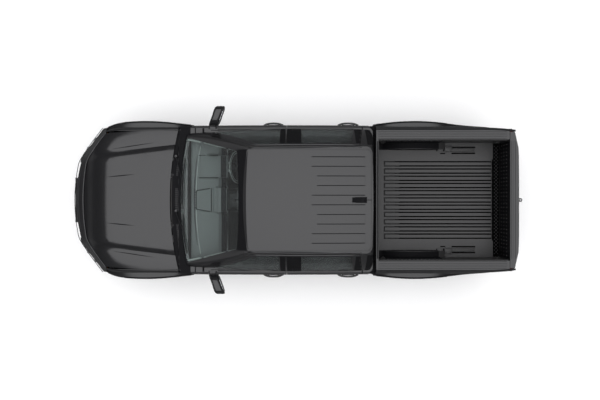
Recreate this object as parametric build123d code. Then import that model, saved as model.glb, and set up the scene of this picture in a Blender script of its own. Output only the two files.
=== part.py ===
"""Crew-cab pickup truck with right-hand drive, in millimetres.

+X points to the nose, +Y to the truck's left, +Z up. The origin is on the ground,
under the middle of the box around the whole truck. Lengths along the truck are
given as stations, counted back from the nose, and st() turns one into an X.
"""

from build123d import *
import os
from math import cos, exp, log, pi, sin, sqrt

# Driving dimensions
BODY_WIDTH = 1918
ROOF_Z = 1868
FRONT_OVERHANG = 900
WHEELBASE = 3270
REAR_OVERHANG = 1180
TOW_BALL_REACH = 230
TYRE_RADIUS = 395
TYRE_WIDTH = 255
RIM_RADIUS = 229
TRACK = 1620
PANEL_GAP = 6
FLARE_REACH = 50
DOOR_THICKNESS = 110
FRAME_THICKNESS = 46
SKIN = 14
SILL_Z = 400
BELT_Z = 1195
CAB_FLOOR_Z = 560
FLOOR_THICKNESS = 30
GLASS_INSET = 6
GLASS_THICKNESS = 6
ARCH_RADIUS = 455
KINGPIN_Y = 705

# Places that follow from them
HALF = BODY_WIDTH / 2
DOOR_Y = HALF - FLARE_REACH
BODY_LENGTH = FRONT_OVERHANG + WHEELBASE + REAR_OVERHANG
NOSE_X = (BODY_LENGTH + TOW_BALL_REACH) / 2
S_FRONT_AXLE = FRONT_OVERHANG
S_REAR_AXLE = FRONT_OVERHANG + WHEELBASE
WHEEL_Y = TRACK / 2
AXLE_Z = TYRE_RADIUS

# Cab stations
S_DOOR_FRONT = 1480
S_DOOR_SPLIT = 2610
S_DOOR_REAR = 3515
S_COWL = 1325
S_CAB_REAR = 3645
DOOR_SILL_Z = 440
FRAME_TOP_Z = 1762

# Cab sheet metal
TUNNEL_HALF = 140
TUNNEL_HEIGHT = 100
TUNNEL_REAR = 3000
FLOOR_PLATE_HALF = 700
ROOF_BAND = 107
ROOF_BAND_DEPTH = 4
ROOF_DITCH_DEPTH = 7
ROOF_CROWN_RADIUS = 4200
ROOF_LENGTH_RADIUS = 6000
S_ROOF_PEAK = 2760
S_ROOF_FRONT = 2176
S_ROOF_REAR = 3562
ROOF_PATCH_HALF = 560
ROOF_FRONT_BOW = 36

# Door and window outlines as (station, height)
FRONT_DOOR = [(S_DOOR_FRONT, DOOR_SILL_Z), (S_DOOR_SPLIT, DOOR_SILL_Z), (S_DOOR_SPLIT, FRAME_TOP_Z),
              (2262, FRAME_TOP_Z), (1588, BELT_Z + 28), (S_DOOR_FRONT, BELT_Z - 30)]
REAR_DOOR = [(S_DOOR_SPLIT + PANEL_GAP, DOOR_SILL_Z), (S_DOOR_REAR, DOOR_SILL_Z), (S_DOOR_REAR, BELT_Z),
             (3440, FRAME_TOP_Z), (S_DOOR_SPLIT + PANEL_GAP, FRAME_TOP_Z)]
FRONT_GLASS = [(1690, BELT_Z + 34), (2540, BELT_Z + 34), (2540, 1716), (2290, 1716)]
REAR_GLASS = [(2686, BELT_Z + 34), (3410, BELT_Z + 34), (3356, 1716), (2686, 1716)]

# Hood and nose
S_HOOD_FRONT = 165
HOOD_THICKNESS = 26
HOOD_HALF = 827
HOOD_REAR_Z = 1174
HOOD_FALL = 44
HOOD_EDGE_DROP = 40
ROLL_START = 450
ROLL_SLOPE = 0.30
ROLL_BLEND = 25
CREASE_WIDTH = 62
FASCIA_TOP_Z = 1042
FASCIA_BREAK_Z = 996
FASCIA_THICKNESS = 42

# Grille and lower intake outlines as (y, height)
GRILLE = [(-505, 790), (505, 790), (452, 1014), (-452, 1014)]
INTAKE = [(-430, 500), (430, 500), (400, 640), (-400, 640)]

# Wheel-arch flares
FLARE_Z = 985
SHELF_RISE = 14
FLARE_POWER = 1.5
FRONT_FLARE_HALF = 640
REAR_FLARE_HALF = 620

# Bed
S_BED_FRONT = S_CAB_REAR + 22
S_BED_REAR = BODY_LENGTH - 118
S_CORNER_REAR = BODY_LENGTH - 44
RAIL_Z = 1330
BED_FLOOR_Z = 830
BED_FLOOR_THICKNESS = 34
RAIL_INNER_Y = HALF - 248
RAIL_OUTER_Y = HALF - 139
BEDSIDE_BOTTOM_Z = 470
WHEELHOUSE_Y = 630
WHEELHOUSE_RADIUS = 580
LINER_THICKNESS = 7
RIB_COUNT = 11
RIB_PITCH = 89
RIB_HEIGHT = 10
RIB_TOP_HALF = 17
RIB_FOOT_HALF = 34
TAILGATE_THICKNESS = 70
TAILGATE_HALF = DOOR_Y - 110
TAILGATE_BOW = 56
TAILGATE_BEND = 14
CORNER_CUT = 70

# Rear bumper and tow bar
BUMPER_BOTTOM_Z = 520
BUMPER_TOP_Z = 710
BUMPER_WRAP = 256
BALL_RADIUS = 25
BALL_Z = 575
CHAIN_EYE_RADIUS = 10
CHAIN_EYE_Y = 52
TOW_TUBE_TOP_Z = 515

# Ladder frame
FRAME_OUTER_Y = 440
FRAME_RAIL_WIDTH = 78
RAIL_HEIGHT = 125
FRAME_FRONT_TOP_Z = 680
FRAME_FRONT_LOW_Z = 530
CAB_UNDERSIDE_Z = CAB_FLOOR_Z - FLOOR_THICKNESS
BED_UNDERSIDE_Z = BED_FLOOR_Z - BED_FLOOR_THICKNESS
S_FRAME_FRONT = 300
S_FRAME_END = BODY_LENGTH - 190

# Wheels, hubs and driveline
SPOKES = 6
BOLT_CIRCLE_RADIUS = 69.85
HUB_FACE = 26
STUB_RADIUS = 34
BALL_STUD_RADIUS = 11
ARM_OFFSET_Z = 147
GEARBOX_END = 2300

# Seats
SEAT_Z = 800
SEAT_Y = 395
SEAT_WIDTH = 480
BENCH_WIDTH = 1300

BIG = 4000


def st(s):
    """X of a station, counted back from the nose."""
    return NOSE_X - s


def fuse(shapes):
    shapes = list(shapes)
    whole = shapes[0]
    for shape in shapes[1:]:
        whole = whole + shape
    return whole


def mirrored(shape):
    """The shape's twin on the truck's right side."""
    return mirror(shape, about=Plane.XZ)


def both(shape):
    return Compound([*shape.solids(), *mirrored(shape).solids()])


def block(s0, s1, y0, y1, z0, z1):
    """Box between two stations, two Y values and two heights."""
    middle = Pos(st((s0 + s1) / 2), (y0 + y1) / 2, (z0 + z1) / 2)
    return middle * Box(abs(s1 - s0), abs(y1 - y0), abs(z1 - z0))


def side_prism(points, y0, y1, radii=0):
    """Prism across the truck from a side-view outline of (station, height) points."""
    wire = Polyline(*[(st(s), z) for s, z in points], close=True)
    face = make_face(wire)
    if radii:
        face = fillet(face.vertices(), radii)
    low, high = min(y0, y1), max(y0, y1)
    return extrude(Plane.XZ.offset(-low) * face, amount=high - low, dir=(0, 1, 0))


def plan_prism(points, z0, z1, radii=0):
    """Upright prism from a plan outline of (station, y) points."""
    face = make_face(Polyline(*[(st(s), y) for s, y in points], close=True))
    if radii:
        face = fillet(face.vertices(), radii)
    return extrude(Pos(0, 0, z0) * face, amount=z1 - z0)


def across(radius, s, z, y0, y1):
    """Cylinder across the truck."""
    return Pos(st(s), (y0 + y1) / 2, z) * Rot(90, 0, 0) * Cylinder(radius, abs(y1 - y0))


def tube_path(points, radius, bend):
    """Round bar along (station, y, z) points with bent corners."""
    pts = [(st(s), y, z) for s, y, z in points]
    path = FilletPolyline(*pts, radius=bend) if len(pts) > 2 else Line(*pts)
    start = Plane(origin=path @ 0, z_dir=path % 0)
    return sweep(start * Circle(radius), path=path)


def section_loft(stations, section):
    """Loft through closed cross-sections; section(s) gives groups of (y, z) points, one edge per group."""
    faces = []
    for s in stations:
        edges = []
        for group in section(s):
            pts = [(st(s), y, z) for y, z in group]
            edges.append(Line(*pts) if len(pts) == 2 else Spline(*pts))
        faces.append(Face(Wire(edges)))
    return loft(faces)


# ---------------------------------------------------------------- cab volumes

def cab_outline(z, front_mid, front_corner, y_front, y_mid, y_rear, rear_mid, rear_corner, inset, corner):
    """Plan outline of the cab at one level: four arcs with rounded corners."""
    xf = st(front_corner + inset)
    xr = st(rear_corner - inset)
    front_left = (xf, y_front - inset)
    rear_left = (xr, y_rear - inset)
    front_right = (xf, -front_left[1])
    rear_right = (xr, -rear_left[1])
    x_mid = (xf + xr) / 2
    edges = [
        ThreePointArc(front_right, (st(front_mid + inset), 0), front_left),
        ThreePointArc(front_left, (x_mid, y_mid - inset), rear_left),
        ThreePointArc(rear_left, (st(rear_mid - inset), 0), rear_right),
        ThreePointArc(rear_right, (x_mid, -(y_mid - inset)), front_right),
    ]
    face = fillet(make_face(edges).vertices(), corner)
    return Pos(0, 0, z) * face


def cab_lower(inset, bottom):
    """Cab below the belt line, from its bottom to the belt."""
    levels = [(SILL_Z, 56), (620, 22), (850, 2), (1000, 3), (1110, 18), (BELT_Z, 47)]
    faces = [
        cab_outline(z, S_COWL, S_COWL + 12, DOOR_Y - fall - 8, DOOR_Y - fall, DOOR_Y - fall - 6,
                    S_CAB_REAR, S_CAB_REAR - 10, inset, 50)
        for z, fall in levels
    ]
    whole = loft(faces)
    return whole & block(S_COWL - 100, S_CAB_REAR + 100, -BIG / 2, BIG / 2, bottom, BELT_Z)


def roof_tool(inset):
    """Everything under the crowned roof surface, set in by inset."""
    top = ROOF_Z - inset
    half, depth = 1100, 900
    sag = ROOF_CROWN_RADIUS - sqrt(ROOF_CROWN_RADIUS ** 2 - half ** 2)
    edges = [
        ThreePointArc((-half, top - sag), (0, top), (half, top - sag)),
        Line((half, top - sag), (half, top - depth)),
        Line((half, top - depth), (-half, top - depth)),
        Line((-half, top - depth), (-half, top - sag)),
    ]
    plane = Plane(origin=(st(S_ROOF_PEAK), 0, 0), x_dir=(0, 1, 0), z_dir=(1, 0, 0))
    face = plane * make_face(edges)
    axis = Axis((st(S_ROOF_PEAK), 0, ROOF_Z - ROOF_LENGTH_RADIUS), (0, 1, 0))
    return revolve(face.rotate(axis, -16), axis, 32)


def greenhouse(inset):
    """Cab above the belt line: raked, curved glass surfaces under a crowned roof."""
    levels = [
        (BELT_Z - 20, S_COWL, 1400, 790, 852, 838, S_CAB_REAR - 6, 3625),
        (1500, 1706, 1786, 704, 760, 748, S_CAB_REAR - 20, 3610),
        (1760, 2057, 2132, 598, 618, 608, S_CAB_REAR - 48, 3578),
        (1890, 2248, 2326, 528, 542, 534, S_CAB_REAR - 74, 3550),
    ]
    faces = [cab_outline(*level, inset, 70 - inset / 2) for level in levels]
    return loft(faces) & roof_tool(inset)


def windscreen_prism():
    """Plan outline of the windscreen glass, as an upright prism."""
    edges = [
        ThreePointArc((st(1428), -742), (st(1352), 0), (st(1428), 742)),
        Line((st(1428), 742), (st(2062), 552)),
        ThreePointArc((st(2062), 552), (st(2084), 0), (st(2062), -552)),
        Line((st(2062), -552), (st(1428), -742)),
    ]
    face = fillet(make_face(edges).vertices(), 30)
    return extrude(Pos(0, 0, BELT_Z + 2) * face, amount=700)


def rear_window_prism():
    outline = make_face(Polyline((-560, 1262), (560, 1262), (500, 1690), (-500, 1690), close=True))
    outline = fillet(outline.vertices(), 50)
    plane = Plane(origin=(st(S_CAB_REAR + 50), 0, 0), x_dir=(0, 1, 0), z_dir=(1, 0, 0))
    return extrude(plane * outline, amount=200)


# ---------------------------------------------------------------- doors

def grown(points, gap):
    """Outline moved out by gap."""
    face = make_face(Polyline(*[(st(s), z) for s, z in points], close=True))
    return offset(face, amount=gap, kind=Kind.INTERSECTION)


def door_prism(points, gap):
    face = grown(points, gap) if gap else make_face(Polyline(*[(st(s), z) for s, z in points], close=True))
    side = extrude(Plane.XZ.offset(-420) * face, amount=700, dir=(0, 1, 0))
    floor_cut = block(0, 6000, 0, DOOR_Y - DOOR_THICKNESS - gap, 0, CAB_FLOOR_Z)
    return side - floor_cut


def swing_relief(s, slope, y_low, z_low, y_high, z_high):
    """Wedge taken off a door's rear edge so that its inner corner clears as it swings."""
    depth = 320
    faces = []
    for y, z in ((y_low, z_low), (y_high, z_high)):
        x = st(s)
        pts = [(x, y, z), (x - 40, y + 40, z), (x - 40, y - depth, z), (x + slope * depth, y - depth, z)]
        faces.append(make_face(Polyline(*pts, close=True)))
    return loft(faces, ruled=True)


def mirror_head():
    """Door mirror: an arm and a housing swept back towards its tip."""
    arm = section_mirror([(838, 1690, 1790, 1205, 1262), (905, 1700, 1780, 1196, 1250)])
    head = section_mirror([(884, 1699, 1806, 1180, 1300), (930, 1716, 1823, 1168, 1338),
                           (1030, 1753, 1860, 1166, 1352), (1085, 1774, 1880, 1190, 1340),
                           (1104, 1796, 1882, 1220, 1310)])
    return arm + head


def section_mirror(levels):
    faces = []
    for y, s0, s1, z0, z1 in levels:
        face = Plane(origin=(st((s0 + s1) / 2), y, (z0 + z1) / 2), x_dir=(1, 0, 0), z_dir=(0, -1, 0)) * \
            RectangleRounded(s1 - s0, z1 - z0, min(s1 - s0, z1 - z0) * 0.28)
        faces.append(face)
    return loft(faces)


def cab_and_doors():
    """Cab shell, roof panel, doors and glass, all cut from the same nested volumes."""
    outer = cab_lower(0, SILL_Z) + greenhouse(0)
    inner = cab_lower(DOOR_THICKNESS, CAB_FLOOR_Z) + greenhouse(FRAME_THICKNESS)
    wall = outer - inner
    glass_skin = greenhouse(GLASS_INSET) - greenhouse(GLASS_INSET + GLASS_THICKNESS)

    nodes = {}
    shell = wall
    for name, door_outline, glass_outline, relief_s in (
        ("front", FRONT_DOOR, FRONT_GLASS, S_DOOR_SPLIT),
        ("rear", REAR_DOOR, REAR_GLASS, S_DOOR_REAR),
    ):
        window = side_prism(glass_outline, 420, 1120, 34)
        leaf = (wall & door_prism(door_outline, 0)) - window
        if name == "front":
            leaf -= swing_relief(relief_s, 0.15, DOOR_Y, DOOR_SILL_Z - 20, DOOR_Y, BELT_Z)
            leaf -= swing_relief(relief_s, 0.34, 856, BELT_Z, 602, FRAME_TOP_Z + 20)
        else:
            leaf -= swing_relief(relief_s, 0.18, DOOR_Y, DOOR_SILL_Z - 20, DOOR_Y, BELT_Z)
            leaf -= rear_frame_relief()
        if name == "front":
            leaf += mirror_foot()
        pane = (glass_skin & window) - leaf
        shell -= door_prism(door_outline, PANEL_GAP)
        shell -= mirrored(door_prism(door_outline, PANEL_GAP))
        nodes[f"{name}_door_left"] = leaf
        nodes[f"{name}_door_right"] = mirrored(leaf)
        nodes[f"{name}_door_glass_left"] = pane
        nodes[f"{name}_door_glass_right"] = mirrored(pane)

    # room for the fenders, the front wheels and the frame
    fender_room = block(0, S_DOOR_FRONT - PANEL_GAP, DOOR_Y - 60, BIG / 2, 0, BELT_Z)
    shell -= fender_room
    shell -= mirrored(fender_room)
    for side in (1, -1):
        shell -= across(ARCH_RADIUS + 62, S_FRONT_AXLE, AXLE_Z, side * 300, side * BIG / 2)
    shell -= block(0, S_CAB_REAR + 100, -(DOOR_Y - 205), DOOR_Y - 205, 0, CAB_FLOOR_Z - FLOOR_THICKNESS)
    shell -= windscreen_prism() & greenhouse(-20)
    shell -= rear_window_prism()
    shell -= block(S_COWL - 10, S_COWL + 60, -700, 700, CAB_FLOOR_Z + 180, BELT_Z - 30)
    tunnel_top = CAB_FLOOR_Z + TUNNEL_HEIGHT
    room_half = TUNNEL_HALF - SKIN
    shell += block(1420, TUNNEL_REAR, -TUNNEL_HALF, TUNNEL_HALF, CAB_UNDERSIDE_Z, tunnel_top)
    shell -= block(1300, TUNNEL_REAR - FLOOR_THICKNESS, -room_half, room_half, 0, tunnel_top - SKIN)

    # the floor plate and its tunnel lie inside the shell's sills, firewall and rear wall
    plate_region = block(S_COWL + DOOR_THICKNESS + 5, S_CAB_REAR - DOOR_THICKNESS - 5,
                         -FLOOR_PLATE_HALF, FLOOR_PLATE_HALF, 0, tunnel_top)
    nodes["cab_floor"] = shell & plate_region
    shell -= plate_region

    # roof panel between the two ditches
    panel_region = roof_patch(0, 40)
    roof_skin = roof_tool(0) - roof_tool(FRAME_THICKNESS)
    roof = shell & panel_region & roof_skin
    shell -= panel_region & roof_skin
    ditch = roof_patch(8, 48) - roof_patch(-8, 32)
    ditch_depth = ditch - roof_tool(ROOF_DITCH_DEPTH)
    shell -= ditch_depth
    roof -= ditch_depth
    roof -= roof_grooves()

    nodes["cab_shell"] = shell
    nodes["roof_panel"] = roof
    panes = [glass_skin & windscreen_prism(), glass_skin & rear_window_prism()]
    nodes["fixed_glass"] = Compound([solid for pane in panes for solid in pane.solids()])
    return nodes


def rear_frame_relief():
    """The same relief on the rear door, whose frame leans forward as it rises."""
    depth, slope = 320, 0.42
    faces = []
    for s, y, z in ((S_DOOR_REAR, 850, BELT_Z), (3440 - 3, 596, FRAME_TOP_Z + 20)):
        x = st(s)
        pts = [(x, y, z), (x - 40, y + 40, z), (x - 40, y - depth, z), (x + slope * depth, y - depth, z)]
        faces.append(make_face(Polyline(*pts, close=True)))
    return loft(faces, ruled=True)


def mirror_foot():
    """Patch on the door's front corner that carries the mirror's arm."""
    low, high = BELT_Z - 20, BELT_Z + 40
    return side_prism([(1600, low), (1800, low), (1800, high), (1640, high)], 800, 852)


def roof_patch(grow, radius):
    """Upright prism over the roof panel's plan outline, grown all round."""
    s0, s1, half = S_ROOF_FRONT - grow, S_ROOF_REAR + grow, ROOF_PATCH_HALF + grow
    edges = [
        ThreePointArc((st(s0), -half), (st(s0 - ROOF_FRONT_BOW), 0), (st(s0), half)),
        Line((st(s0), half), (st(s1), half)),
        Line((st(s1), half), (st(s1), -half)),
        Line((st(s1), -half), (st(s0), -half)),
    ]
    face = make_face(edges)
    face = fillet(face.vertices(), radius)
    return extrude(Pos(0, 0, ROOF_Z - 200) * face, amount=250)


def roof_grooves():
    """Five shallow bands pressed into the rear half of the roof."""
    bands = []
    for i in range(5):
        y = (i - 2) * 2 * ROOF_BAND
        front = 2900 if i % 2 == 0 else 2960
        bands.append(plan_prism([(front, y - ROOF_BAND / 2), (3500, y - ROOF_BAND / 2),
                                 (3500, y + ROOF_BAND / 2), (front, y + ROOF_BAND / 2)],
                                ROOF_Z - 100, ROOF_Z + 20, 20))
    return fuse(bands) - roof_tool(ROOF_BAND_DEPTH)


# ---------------------------------------------------------------- front end

def hood_share(s):
    """1 at the hood's front edge, 0 at its rear edge."""
    return (S_COWL - s) / (S_COWL - S_HOOD_FRONT)


def roll_off(s):
    """Fall of the hood's leading part, a steady slope that blends in at ROLL_START."""
    return ROLL_SLOPE * ROLL_BLEND * log(1 + exp((ROLL_START - s) / ROLL_BLEND))


def hood_mid_z(s):
    return HOOD_REAR_Z - HOOD_FALL * max(0, hood_share(s)) - roll_off(s)


def hood_edge_z(s):
    u = max(0, hood_share(s))
    return HOOD_REAR_Z - HOOD_EDGE_DROP - 30 * u - 92 * u ** 3 - 0.8 * roll_off(s)


def hood_section(s):
    mid = hood_mid_z(s)
    edge = hood_edge_z(s)
    y2 = 668 - 132 * hood_share(s)
    y1 = y2 - CREASE_WIDTH
    shoulder = mid - 12
    low = shoulder - 20
    t = HOOD_THICKNESS
    w = HOOD_HALF + 40
    mid_out = (low + edge) / 2 + 8
    half = [[(y1, shoulder), (y2, low)], [(y2, low), ((y2 + w) / 2, mid_out), (w, edge - 6)]]
    top = [[(-y1, shoulder), (0, mid), (y1, shoulder)]]
    mirrored_half = [[(-y, z) for y, z in reversed(group)] for group in reversed(half)]
    groups = mirrored_half + top + half
    under = [[(y, z - t) for y, z in reversed(group)] for group in reversed(groups)]
    return groups + [[(w, edge - 6), (w, edge - 6 - t)]] + under + [[(-w, edge - 6 - t), (-w, edge - 6)]]


def hood_outline(gap):
    """Plan outline of the hood, smaller by gap all round."""
    nose = (st(218 + gap), 522 - gap)
    corner = (st(432 + gap), 800 - gap)
    side = (st(800), HOOD_HALF - 2 - gap)
    rear = (st(1316 - gap), HOOD_HALF - gap)
    (nose_r, corner_r, side_r, rear_r) = [(x, -y) for x, y in (nose, corner, side, rear)]
    edges = [
        ThreePointArc(nose_r, (st(S_HOOD_FRONT + gap), 0), nose),
        Line(nose, corner),
        ThreePointArc(corner, side, rear),
        ThreePointArc(rear, (st(1221 - gap), 0), rear_r),
        ThreePointArc(rear_r, side_r, corner_r),
        Line(corner_r, nose_r),
    ]
    return make_face(edges)


def hood():
    sheet = section_loft([120 + 160 * i for i in range(9)], hood_section)
    prism = extrude(Pos(0, 0, 900) * hood_outline(0), amount=400)
    return sheet & prism


def nose_outline(z, mid, s1, y1, s2, y2, inset):
    """Plan outline of the front end at one level, with its chamfered corners."""
    back = (st(560), DOOR_Y - 4 - inset)
    inner = (st(s1 + inset), y1 - inset * 0.45)
    outer = (st(s2 + inset * 1.1), y2 - inset)
    edges = [
        ThreePointArc((inner[0], -inner[1]), (st(mid + inset), 0), inner),
        Line(inner, outer),
        Line(outer, back),
        Line(back, (back[0], -back[1])),
        Line((back[0], -back[1]), (outer[0], -outer[1])),
        Line((outer[0], -outer[1]), (inner[0], -inner[1])),
    ]
    return Pos(0, 0, z) * make_face(edges)


def nose_volume(inset):
    """Front end set in by inset: a curved face, and a sloping band up to the hood's edge."""
    levels = [
        (SILL_Z - 30, 120, 190, 500, 440, 838),
        (500, 30, 96, 520, 372, 872),
        (640, 0, 74, 528, 354, 884),
        (780, 14, 84, 526, 358, 884),
        (FASCIA_BREAK_Z, 60, 124, 518, 392, 866),
    ]
    band_top = (FASCIA_TOP_Z + 8, 172, 226, 524, 442, 812)
    face = loft([nose_outline(*level, inset) for level in levels])
    band = loft([nose_outline(*level, inset) for level in (levels[-1], band_top)], ruled=True)
    return face + band


def front_prism(points, radii, depth=600):
    """Prism along the truck from a front-view outline of (y, z) points."""
    face = fillet(make_face(Polyline(*points, close=True)).vertices(), radii)
    plane = Plane(origin=(st(depth), 0, 0), x_dir=(0, 1, 0), z_dir=(1, 0, 0))
    return extrude(plane * face, amount=depth + 100)


def lamp_prism():
    """Front-view outline of the left headlamp."""
    return front_prism([(548, 866), (548, 990), (900, 990), (900, 900), (800, 866)], 12, 560)


def hood_room():
    """The hood's plan outline with the gap round it, as an upright prism."""
    return extrude(Pos(0, 0, 940) * hood_outline(-PANEL_GAP), amount=300)


def front_end():
    outer = nose_volume(0) & block(-50, 556, -BIG / 2, BIG / 2, SILL_Z - 30, FASCIA_TOP_Z)
    hollow = nose_volume(FASCIA_THICKNESS)
    hollow &= block(-50, 700, -BIG / 2, BIG / 2, SILL_Z - 60, FASCIA_TOP_Z - 22)
    fascia = outer - hollow
    fascia -= front_prism(GRILLE, 24)
    fascia -= front_prism(INTAKE, 20)
    lamps = lamp_prism() + mirrored(lamp_prism())
    fascia -= lamps
    fascia -= hood_room()
    for side in (1, -1):
        fascia -= across(ARCH_RADIUS, S_FRONT_AXLE, AXLE_Z, side * 400, side * BIG / 2)
        fascia -= across(ARCH_RADIUS + 58, S_FRONT_AXLE, AXLE_Z, side * 400, side * 862)
    # fenders start behind the lamps
    fender_side = plan_prism([(432, 700), (560, 700), (560, 1000), (432, 1000)], 760, 1200)
    fascia -= fender_side + mirrored(fender_side)

    grille_shell = nose_volume(14) - nose_volume(34)
    grille = grille_shell & front_prism(GRILLE, 24)
    for z in range(822, 1000, 36):
        slot = block(-50, 400, -420, 420, z, z + 20)
        grille -= slot
    grille_ribs = fuse(
        block(-50, 400, y - 7, y + 7, 800, 1010) for y in (-280, -140, 0, 140, 280)
    ) & (nose_volume(20) - nose_volume(34)) & front_prism(GRILLE, 24)
    grille = grille + grille_ribs
    lamp_block = (nose_volume(2) - nose_volume(90)) & lamps
    lamp_block &= block(-50, 430, -BIG / 2, BIG / 2, 0, BIG)
    lamp_block -= hood_room()
    return {"front_bumper": fascia, "grille": grille, "headlights": lamp_block}


def flared_side(s, axle_s, reach_half):
    """Y of the flare's edge at a station."""
    share = max(0, 1 - ((s - axle_s) / reach_half) ** 2)
    return DOOR_Y + 2 + (FLARE_REACH - 2) * share ** FLARE_POWER


def fender_section(s):
    nose_taper = max(0, (620 - s) / 190) ** 2 * 34
    top = hood_edge_z(s)
    y_in = HOOD_HALF + PANEL_GAP - max(0, (600 - s) / 160) ** 2 * 16
    y_shoulder = DOOR_Y - 34 - nose_taper
    y_flare = flared_side(s, S_FRONT_AXLE, FRONT_FLARE_HALF) - nose_taper
    z_flare = FLARE_Z - ((s - S_FRONT_AXLE) / 600) ** 2 * 40
    z_shelf = z_flare + SHELF_RISE
    outer = [
        [(y_in, top), ((y_in + y_shoulder) / 2 - 4, top - 3), (y_shoulder - 9, top - 15),
         (y_shoulder - 2, top - 38)],
        [(y_shoulder - 2, top - 38), (y_shoulder, z_shelf)],
        [(y_shoulder, z_shelf), (y_flare - 14, z_flare + 4)],
        [(y_flare - 14, z_flare + 4), (y_flare - 3, z_flare - 14), (y_flare, z_flare - 46)],
        [(y_flare, z_flare - 46), (y_flare - 6, 720), (y_flare - 34, SILL_Z)],
    ]
    t = SKIN
    inner = [
        [(y_in, top - t), ((y_in + y_shoulder) / 2 - 6, top - 3 - t),
         (y_shoulder - 11 - t * 0.6, top - 15 - t * 0.8),
         (y_shoulder - 2 - t, top - 38 - t * 0.5)],
        [(y_shoulder - 2 - t, top - 38 - t * 0.5), (y_shoulder - t, z_shelf - t)],
        [(y_shoulder - t, z_shelf - t), (y_flare - 14 - t, z_flare + 4 - t)],
        [(y_flare - 14 - t, z_flare + 4 - t), (y_flare - 3 - t, z_flare - 16 - t * 0.4),
         (y_flare - t, z_flare - 46 - t * 0.3)],
        [(y_flare - t, z_flare - 46 - t * 0.3), (y_flare - 6 - t, 720), (y_flare - 34 - t, SILL_Z)],
    ]
    return closed_section(outer, inner)


def closed_section(outer, inner):
    """Closed cross-section from outer edge groups and matching inner ones."""
    back = [list(reversed(group)) for group in reversed(inner)]
    return outer + [[outer[-1][-1], back[0][0]]] + back + [[back[-1][-1], outer[0][0]]]


def fender():
    skin = section_loft([400 + 110 * i for i in range(11)], fender_section)
    region = side_prism([(432, 760), (432, 1300), (S_DOOR_FRONT - PANEL_GAP, 1300),
                         (S_DOOR_FRONT - PANEL_GAP, SILL_Z + 20), (560, SILL_Z + 20), (560, 760)], 600, 1100)
    skin &= region
    skin -= across(ARCH_RADIUS, S_FRONT_AXLE, AXLE_Z, 300, BIG / 2)
    return skin


# ---------------------------------------------------------------- bed

def bedside_section(s):
    """Inverted U: outer skin, rail top and inner wall of the left bed side."""
    tail_taper = max(0, (s - (S_REAR_AXLE + 420)) / 760) ** 2 * 58
    y_shoulder = DOOR_Y - 32 - tail_taper * 0.8
    y_flare = flared_side(s, S_REAR_AXLE, REAR_FLARE_HALF) - tail_taper
    z_flare = FLARE_Z - ((s - S_REAR_AXLE) / 700) ** 2 * 30
    z_shelf = z_flare + SHELF_RISE
    t = SKIN
    top = RAIL_Z
    y_top = min(RAIL_OUTER_Y, y_shoulder - 38)
    outer = [
        [(RAIL_INNER_Y, BED_FLOOR_Z), (RAIL_INNER_Y, top)],
        [(RAIL_INNER_Y, top), (y_top, top)],
        [(y_top, top), (y_top + 18, top - 8), (y_shoulder - 12, top - 60)],
        [(y_shoulder - 12, top - 60), (y_shoulder - 2, 1190), (y_shoulder, z_shelf)],
        [(y_shoulder, z_shelf), (y_flare - 14, z_flare + 4)],
        [(y_flare - 14, z_flare + 4), (y_flare - 3, z_flare - 14), (y_flare, z_flare - 46)],
        [(y_flare, z_flare - 46), (y_flare - 6, 720), (y_flare - 34, 470)],
    ]
    inner = [
        [(RAIL_INNER_Y + t, BED_FLOOR_Z), (RAIL_INNER_Y + t, top - t)],
        [(RAIL_INNER_Y + t, top - t), (y_top - 4, top - t)],
        [(y_top - 4, top - t), (y_top + 8, top - 8 - t), (y_shoulder - 12 - t, top - 64)],
        [(y_shoulder - 12 - t, top - 64), (y_shoulder - 2 - t, 1190), (y_shoulder - t, z_shelf - t)],
        [(y_shoulder - t, z_shelf - t), (y_flare - 14 - t, z_flare + 4 - t)],
        [(y_flare - 14 - t, z_flare + 4 - t), (y_flare - 3 - t, z_flare - 16 - t * 0.4),
         (y_flare - t, z_flare - 46 - t * 0.3)],
        [(y_flare - t, z_flare - 46 - t * 0.3), (y_flare - 6 - t, 720), (y_flare - 34 - t, 470)],
    ]
    return closed_section(outer, inner)


def bedside():
    length = S_CORNER_REAR - S_BED_FRONT
    side = section_loft([S_BED_FRONT + length * i / 10 for i in range(11)], bedside_section)
    side += bedside_end_cap()
    side -= block(S_BED_REAR, BODY_LENGTH, 0, RAIL_OUTER_Y - 14, 0, BIG)
    side -= across(ARCH_RADIUS, S_REAR_AXLE, AXLE_Z, RAIL_INNER_Y + 60, BIG / 2)
    side -= across(WHEELHOUSE_RADIUS, S_REAR_AXLE, AXLE_Z, 300, RAIL_INNER_Y + SKIN + 1)
    side -= block(BODY_LENGTH - BUMPER_WRAP, BODY_LENGTH, 0, BIG / 2, 0, BUMPER_TOP_Z + PANEL_GAP)
    side -= plan_prism([(S_CORNER_REAR + 20, RAIL_OUTER_Y + 10), (S_CORNER_REAR - CORNER_CUT, HALF),
                        (S_CORNER_REAR + 20, HALF)], 0, BIG / 2)
    lamp = tail_lamp_region()
    return side - lamp, side & lamp


def bedside_end_cap():
    """Plate that closes the rear end of the bed side's hollow section."""
    edges = []
    groups = bedside_section(S_CORNER_REAR)[:7]
    groups.append([groups[-1][-1], (RAIL_INNER_Y, 470)])
    groups.append([(RAIL_INNER_Y, 470), groups[0][0]])
    for group in groups:
        pts = [(st(S_CORNER_REAR), y, z) for y, z in group]
        edges.append(Line(*pts) if len(pts) == 2 else Spline(*pts))
    return extrude(Face(Wire(edges)), amount=SKIN, dir=(1, 0, 0))


def tail_lamp_region():
    return block(S_CORNER_REAR - 90, BODY_LENGTH, RAIL_OUTER_Y - 20, BIG / 2, 880, 1215)


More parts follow.
